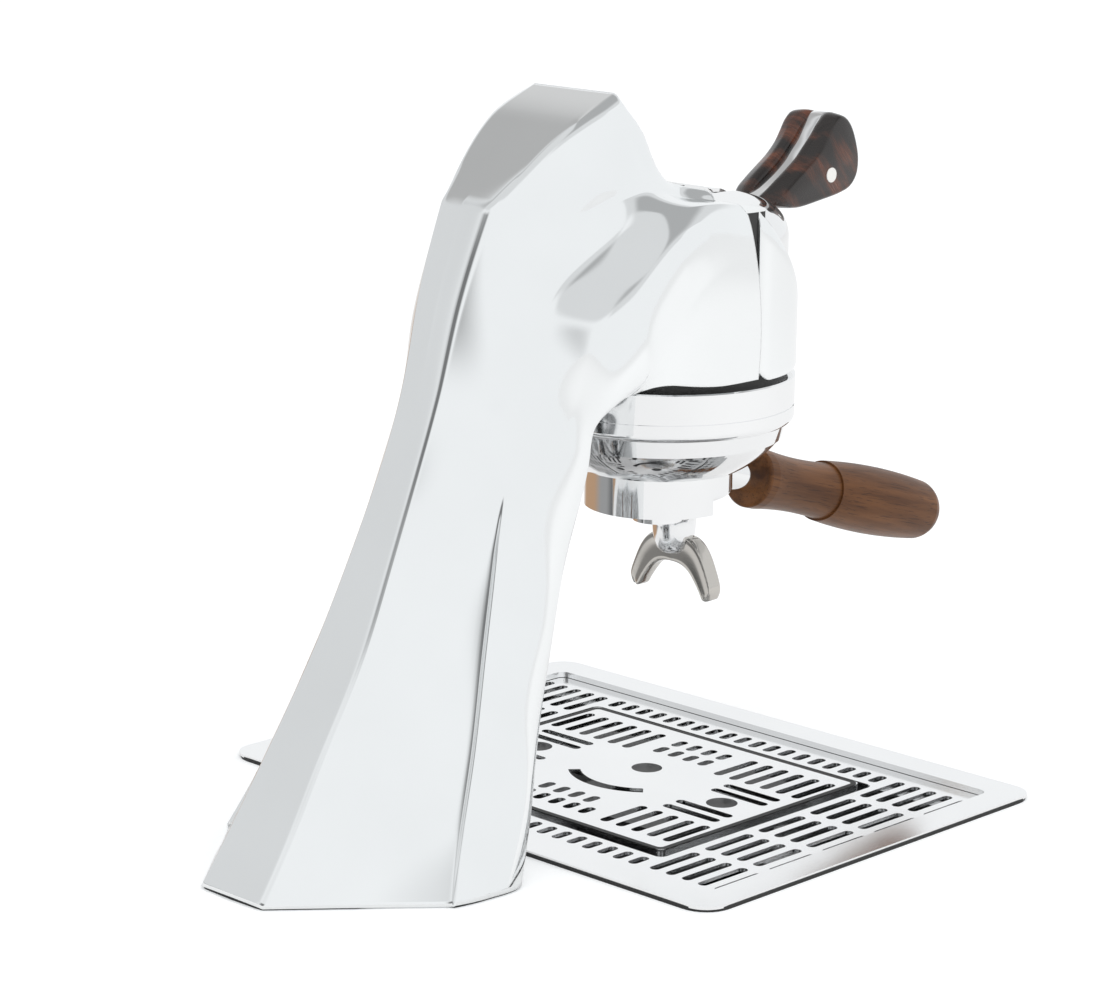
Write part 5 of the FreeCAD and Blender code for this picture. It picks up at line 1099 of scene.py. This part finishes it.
@dataclass
class Paddle:
    """The brew paddle: a steel spine between two rosewood scales with a trough along their back edge.

    An edge's points hold y, z and how much of the hump the scale has there. A scale's levels hold the
    share of the way outwards, the share of the hump and how far the outline is drawn in. The spine's
    levels hold x and how far the outline is drawn in.
    """

    stock: Stock
    half_spine: float = 4.0
    half_width: float = 16.0
    steps: int = 8
    proud: float = 0.25
    hump: float = 4.8
    split: float = 40.0
    spine_edge: Points = (
        (-59, 270.5, 0), (-61, 273.6, 0.1), (-72, 278.8, 0.8), (-82, 284.4, 1), (-89.5, 289.6, 1),
        (-95, 294.8, 1), (-100, 299.8, 0.9), (-104.8, 305.8, 0.7), (-110, 311, 0.35), (-115.5, 311, 0),
        (-120, 306.5, 0), (-123.7, 298.5, 0), (-125, 289.5, 0), (-124, 281, 0), (-119, 275, 0),
        (-111, 272.2, 0), (-98.9, 270.4, 0), (-78, 268.2, 0),
    )
    face_edge: Points = (
        (-70, 271.5, 0), (-69, 276.5, 0), (-75.5, 282, 0), (-83.7, 287.4, 0), (-90, 291.6, 0),
        (-95.8, 296.8, 0), (-99.6, 302, 0), (-103.5, 307.8, 0), (-108.5, 311.3, 0), (-114, 310.3, 0),
        (-118.7, 305.8, 0), (-122.3, 298.5, 0), (-124.6, 290, 0), (-123.8, 281.8, 0), (-119.2, 276, 0),
        (-111.5, 273.2, 0), (-99, 271.2, 0), (-80, 269, 0),
    )
    root: Points = (
        (-50, 268), (-44, 262), (-32, 254), (-25, 252), (-25, 247.5), (-36, 249), (-52, 257),
        (-66, 266),
    )
    scale_levels: Points = (
        (0.0, 0.0, 0.0), (0.1, 0.5, 0.0), (0.22, 0.82, 0.0), (0.38, 1.0, 0.0), (0.55, 0.95, 0.0),
        (0.72, 0.7, 0.0), (0.86, 0.36, 0.2), (0.94, 0.16, 0.6), (0.98, 0.05, 1.1), (1.0, 0.0, 1.9),
    )
    spine_levels: Points = ((-4.0, 0.5), (-3.8, 0.15), (-3.5, 0.0), (3.5, 0.0), (3.8, 0.15), (4.0, 0.5))

    def scale(self, side: float) -> np.ndarray:
        """The sections of one scale, a mix of its inner and its outer outline that humps in between.

        Args:
            side: 1 for the scale with positive x, and -1 for the other.

        Returns:
            The sections' points, from the spine outwards.
        """
        inner = closed_curve(self.spine_edge, self.steps)
        outer = closed_curve(self.face_edge, self.steps)
        sections = []
        for share, height, inset in self.scale_levels:
            ring = (1 - share) * inner + share * outer
            lifted = inward(ring[:, :2], inset - self.hump * height * ring[:, 2])
            reach = self.half_spine + share * (self.half_width - self.half_spine)
            sections.append(standing(lifted, side * reach))
        return np.array(sections)

    def build(self) -> None:
        """Makes both scales, and the spine with softened edges that runs down to its pivot."""
        for node in ("paddle_scale_left", "paddle_scale_right"):
            low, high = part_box(node)
            self.stock.loft(f"{node}_wood", self.scale(math.copysign(1.0, low.x + high.x)), Body.PADDLE,
                            "rosewood", [node], split=self.split)
        crown = inward(closed_curve(self.spine_edge, self.steps)[:, :2], -self.proud)
        outline = np.concatenate([crown[self.steps:], self.root[::-1]])
        self.stock.loft("paddle_spine_plate", slab(outline, self.spine_levels), Body.PADDLE, "chrome_trim",
                        ["paddle_spine"], split=self.split)


@dataclass
class Spouts:
    """The hub under the cup and the double spout: two curved arms that run out and down from its tip.

    Edges are given as x and z, and the hub's profile as radius and z.
    """

    stock: Stock
    axis: float = -12.0
    near: float = -9.0
    far: float = -18.5
    squareness: float = 0.42
    tip_start: float = 0.8
    tip_narrowing: float = 0.25
    dish: float = 0.9
    dish_start: float = 0.9
    rows_per_span: int = 8
    around: int = 48
    hub_split: float = 50.0
    outer_edge: Points = (
        (0, 112.5), (5, 115), (10, 115.7), (15.5, 113), (20.5, 106.5), (24.3, 98), (25.8, 91.5),
        (24.6, 87.2),
    )
    inner_edge: Points = (
        (0, 102.3), (4, 102), (8.5, 100.6), (12.5, 97.6), (16, 93.4), (19, 89.2), (21, 86.6),
        (22.6, 86.2),
    )
    hub_profile: Points = (
        (11.4, 125.2), (10.9, 124.4), (10.7, 121), (10.4, 117), (9.7, 113), (8.4, 109.6), (6.2, 107.4),
        (3.4, 106.6),
    )

    def squared(self, wave: np.ndarray) -> np.ndarray:
        """A sine or cosine with its sign kept and its size raised to a power, which squares a circle."""
        return np.sign(wave) * np.abs(wave) ** self.squareness

    def arms(self) -> np.ndarray:
        """The sections of the double spout, from one tip to the other.

        Each is a squared circle between the outer and the inner edge, narrower at the tips and dished
        by half a sine where it faces the tower.

        Returns:
            The sections' points, in millimetres.
        """
        edges = np.stack([np.array(self.outer_edge, float), np.array(self.inner_edge, float)], axis=1)
        half = spline_lines(edges, self.rows_per_span)
        both = np.concatenate([(half * (-1, 1))[:0:-1], half])
        turn = np.linspace(0, 2 * math.pi, self.around, endpoint=False)
        through = 0.5 + 0.5 * self.squared(np.cos(turn))
        wide = self.squared(np.sin(turn))
        thick = both[:, :1] + (both[:, 1:] - both[:, :1]) * through[None, :, None]
        reach = np.abs(np.linspace(-1, 1, len(both)))[:, None]
        narrow = 1 - self.tip_narrowing * ramp(reach, self.tip_start, 1.0) ** 2
        depth = (self.near + self.far) / 2 + (self.near - self.far) / 2 * narrow * wide
        dished = depth - self.dish * (wide > self.dish_start) * np.sin(math.pi * through)
        return np.stack([thick[..., 0], dished, thick[..., 1]], axis=-1)

    def hub(self) -> np.ndarray:
        """The sections of the hub: its profile turned about the spout's axis.

        Returns:
            The sections' points, in millimetres.
        """
        turn = np.linspace(0, 2 * math.pi, self.around, endpoint=False)
        ring = np.stack([np.sin(turn), np.cos(turn)], axis=1)
        return np.array([lying(radius * ring + (0, self.axis), height)
                         for radius, height in self.hub_profile])

    def build(self) -> None:
        """Makes the hub and the double spout."""
        self.stock.loft("twin_spout_arms", self.arms(), Body.PORTAFILTER, "spout_steel", ["twin_spout"])
        self.stock.loft("spout_hub_turned", self.hub(), Body.PORTAFILTER, "chrome_trim", ["spout_hub"],
                        split=self.hub_split)


@dataclass
class Tray:
    """The black trims of the tray: the gasket under its rim, and a black band of painted shade for the gap
    round the cup plate.
    """

    stock: Stock
    rim_corner: float = 14.0
    gasket_insets: tuple[float, float] = (-0.3, 4.0)
    gasket_drop: float = 1.0
    plate_corner: float = 5.0
    gap_shade_insets: tuple[float, float] = (-0.2, 2.6)
    gap_shade_depth: float = 0.5
    gap_shade_proud: float = 0.06
    corner_steps: int = 9
    least_corner: float = 0.5

    def outline(self, box: Sequence[Vector], corner: float, inset: float) -> np.ndarray:
        """A rectangle with round corners, anticlockwise, in metres.

        Args:
            box: The lowest and the highest corner of the box around it.
            corner: The corners' radius, in millimetres.
            inset: How far inside the box it runs, in millimetres.

        Returns:
            The outline's points.
        """
        low, high = box
        radius = max(corner - inset, self.least_corner) * MM
        reach = inset * MM + radius
        left, right, front, back = low.x + reach, high.x - reach, low.y + reach, high.y - reach
        turn = np.linspace(0, math.pi / 2, self.corner_steps)
        arcs = []
        for quarter, centre in enumerate(((right, back), (left, back), (left, front), (right, front))):
            angle = turn + quarter * math.pi / 2
            arcs.append(centre + radius * np.stack([np.cos(angle), np.sin(angle)], axis=1))
        return np.concatenate(arcs)

    def build(self) -> None:
        """Makes both rings."""
        basin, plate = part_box("tray_basin"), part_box("cup_plate")
        outer, inner = (self.outline(basin, self.rim_corner, inset) for inset in self.gasket_insets)
        heights = (COUNTER_Z, basin[1].z - self.gasket_drop * MM)
        self.stock.band("tray_gasket_ring", outer, inner, heights, Body.FRAME, ["tray_gasket"])
        # Painted shade: a black band over the cup plate's edge darkens the gap around the plate.
        outer, inner = (self.outline(plate, self.plate_corner, inset) for inset in self.gap_shade_insets)
        heights = (plate[1].z - self.gap_shade_depth * MM, plate[1].z + self.gap_shade_proud * MM)
        self.stock.band("cup_plate_gap_shade", outer, inner, heights, Body.CUP_PLATE)


@dataclass(frozen=True)
class Lamp:
    """A soft square lamp that is aimed at the machine and doesn't show in its metal."""

    name: str
    place: tuple[float, float, float]
    power: float
    size: float
    target: tuple[float, float, float] = (0.0, GROUP_Y, 0.15)

    def build(self) -> None:
        """Hangs the lamp."""
        data = bpy.data.lights.new(self.name, "AREA")
        data.energy = self.power
        data.size = self.size
        lamp = bpy.data.objects.new(self.name, data)
        lamp.visible_glossy = False
        aim = (Vector(self.place) - Vector(self.target)).to_track_quat("Z", "Y")
        lamp.matrix_world = Matrix.Translation(self.place) @ aim.to_matrix().to_4x4()
        bpy.context.scene.collection.objects.link(lamp)


@dataclass
class Studio:
    """The camera, the lamps, the counter and the white room around them, in metres.

    What the metal sees is given as stretches around the room, in degrees from +Y over +X: where each
    begins, is full, starts to fade and ends. Heights are the sine of the angle above the horizon.
    """

    place: tuple[float, float, float] = (-1.0720, 0.9754, 0.5128)
    heading: float = math.radians(44.1)
    pitch: float = math.radians(13.3)
    roll: float = math.radians(0.74)
    lens: float = 112.0
    sensor: float = 36.0
    clip: tuple[float, float] = (0.01, 50.0)
    white: float = 0.95
    wall: tuple[float, ...] = (24, 40, 105, 128)
    wall_shade: float = 0.22
    ceiling: tuple[float, ...] = (60, 85, 130, 150)
    ceiling_rise: tuple[float, float] = (0.42, 0.5)
    ceiling_shade: float = 0.26
    left_edges: tuple[float, ...] = (-80, -70, 125, 150)
    left_rises: Points = ((0.53, 0.58), (0.66, 0.8))
    left_shades: tuple[float, float] = (0.2, 0.3)
    middle_edges: tuple[float, ...] = (-80, -70, 40, 60)
    middle_rise: tuple[float, float] = (0.6, 0.72)
    middle_shade: float = 0.2
    doorway: tuple[float, ...] = (-48, -14, 12, 34)
    doorway_top: tuple[float, float] = (0.42, 0.66)
    doorway_shade: float = 0.75
    cool: Colour = rgb(0.985, 1.0, 1.01)
    counter_size: float = 6.0
    counter_grey: float = 0.82
    basin_inset: float = 6 * MM
    glow: Colour = rgb(0.95, 1.0, 1.03)
    camera_glow: float = 0.25
    mirror_glow: float = 0.08
    rug: tuple[float, ...] = (10, 18, 100, 126)
    rug_start: tuple[float, float] = (0.24, 0.3)
    rug_changes: Points = ((28, 44), (52, 74))
    rug_colours: tuple[Colour, ...] = (grey(0.05), grey(0.24), rgb(0.38, 0.22, 0.11))
    lamps: tuple[Lamp, ...] = (
        Lamp("overhead", (-0.6, -0.2, 1.9), 5.0, 1.6),
        Lamp("left_fill", (-1.5, -0.9, 1.1), 2.0, 1.2),
    )

    def camera(self) -> None:
        """Places the camera: it looks along heading and pitch, and is rolled about its line of sight."""
        look = np.array([math.sin(self.heading) * math.cos(self.pitch),
                         -math.cos(self.heading) * math.cos(self.pitch), -math.sin(self.pitch)])
        right = np.array([-math.cos(self.heading), -math.sin(self.heading), 0.0])
        up = np.cross(right, look)
        level = right * math.cos(self.roll) + up * math.sin(self.roll)
        upright = up * math.cos(self.roll) - right * math.sin(self.roll)
        data = bpy.data.cameras.new("photo_camera")
        data.lens = self.lens
        data.sensor_width = self.sensor
        data.sensor_fit = "HORIZONTAL"
        data.clip_start, data.clip_end = self.clip
        camera = bpy.data.objects.new("photo_camera", data)
        turn = Matrix(np.column_stack([level, upright, -look]).tolist()).to_4x4()
        turn.translation = self.place
        camera.matrix_world = turn
        bpy.context.scene.collection.objects.link(camera)
        bpy.context.scene.camera = camera

    def world(self) -> None:
        """A white room, evenly lit. Metal sees it with grey stretches and a dark doorway."""
        world = bpy.data.worlds.new("white_room")
        bpy.context.scene.world = world
        world.use_nodes = True
        recipe = Recipe(world.node_tree)
        split = recipe.node("SeparateXYZ", {}, {0: recipe.node("TexCoord").signal("Generated")})
        up = split.signal("Z")
        turn = recipe.math("ARCTAN2", split.signal("X"), split.signal("Y")) * math.degrees(1.0)
        wall = turn.between(*self.wall)
        ceiling = turn.between(*self.ceiling) * up.step(*self.ceiling_rise)
        low_rise, high_rise = self.left_rises
        low, high = self.left_shades
        shades = up.step(*low_rise) * low + up.step(*high_rise) * high
        left = (1 - turn.between(*self.left_edges)) * shades
        middle = self.middle_shade * turn.between(*self.middle_edges) * up.step(*self.middle_rise)
        doorway = turn.between(*self.doorway) * (1 - up.step(*self.doorway_top))
        level = (self.white - self.wall_shade * wall - self.ceiling_shade * ceiling - (left + middle)
                 - self.doorway_shade * doorway)
        tint = recipe.mix(ceiling, self.cool, grey(1.0))
        seen = recipe.node("VectorMath", {"operation": "SCALE"}, {0: tint, "Scale": level}).signal()
        colour = recipe.mix(recipe.node("LightPath").signal("Is Glossy Ray"), grey(1.0), seen)
        background = recipe.node("Background", {}, {"Color": colour, "Strength": 1.0})
        recipe.node("OutputWorld", {}, {"Surface": background.signal()})

    def counter(self) -> None:
        """A pale counter with the opening that the tray's basin hangs in. Metal sees a rug beyond it."""
        low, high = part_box("tray_basin")
        inset, size = self.basin_inset, self.counter_size
        x_cuts = (-size, low.x + inset, high.x - inset, size)
        y_cuts = (-size, low.y + inset, high.y - inset, size)
        points = [(x, y, COUNTER_Z) for y in y_cuts for x in x_cuts]
        middle_face = 4
        faces = np.delete(grid_faces(len(y_cuts), len(x_cuts)), middle_face, axis=0).tolist()
        mesh = bpy.data.meshes.new("counter")
        mesh.from_pydata(points, [], faces)
        counter = bpy.data.objects.new("counter", mesh)
        bpy.context.scene.collection.objects.link(counter)
        material, recipe = fresh_material("white_counter")
        path = recipe.node("LightPath")
        mirrored = path.signal("Is Glossy Ray")
        strength = path.signal("Is Camera Ray") * self.camera_glow + mirrored * self.mirror_glow
        split = recipe.node("SeparateXYZ", {}, {0: recipe.node("TexCoord").signal("Object")})
        x, y = split.signal("X"), split.signal("Y") - GROUP_Y
        around = recipe.math("ARCTAN2", x, y) * math.degrees(1.0)
        black, dark, brown = self.rug_colours
        to_dark, to_brown = self.rug_changes
        rug = recipe.mix(around.step(*to_brown), recipe.mix(around.step(*to_dark), black, dark), brown)
        far = recipe.math("MAXIMUM", x, y).step(*self.rug_start)
        beside = far * around.between(*self.rug) * mirrored
        plain = recipe.node("BsdfDiffuse", {}, {"Color": recipe.mix(beside, grey(self.counter_grey), rug)})
        glow = recipe.node("Emission", {}, {"Color": self.glow, "Strength": strength})
        both = recipe.node("AddShader", {}, {0: plain.signal(), 1: glow.signal()})
        recipe.node("OutputMaterial", {}, {"Surface": both.signal()})
        mesh.materials.append(material)
        counter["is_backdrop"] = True

    def build(self) -> None:
        """Sets the whole stage up."""
        bpy.context.scene.view_settings.view_transform = "Standard"
        self.camera()
        self.world()
        self.counter()
        for lamp in self.lamps:
            lamp.build()


def corners() -> list[list[float]]:
    """The shown object's lowest and highest corner, as plain lists."""
    return [list(corner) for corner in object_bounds()]


def main() -> None:
    """Builds the stage and every sub-assembly, and reports each piece."""
    logging.basicConfig(level=logging.INFO, format="%(name)s: %(message)s")
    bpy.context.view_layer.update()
    Studio().build()
    stock = Stock()
    stock.dress_nodes()
    stock.soften_nodes()
    for assembly in (Tower, NoseCover, Bridge, Paddle, Spouts, Tray):
        assembly(stock).build()
    for made in stock.pieces:
        log.info("%s has %d faces", made.name, len(made.data.polygons))


if __name__ == "__main__":
    main()
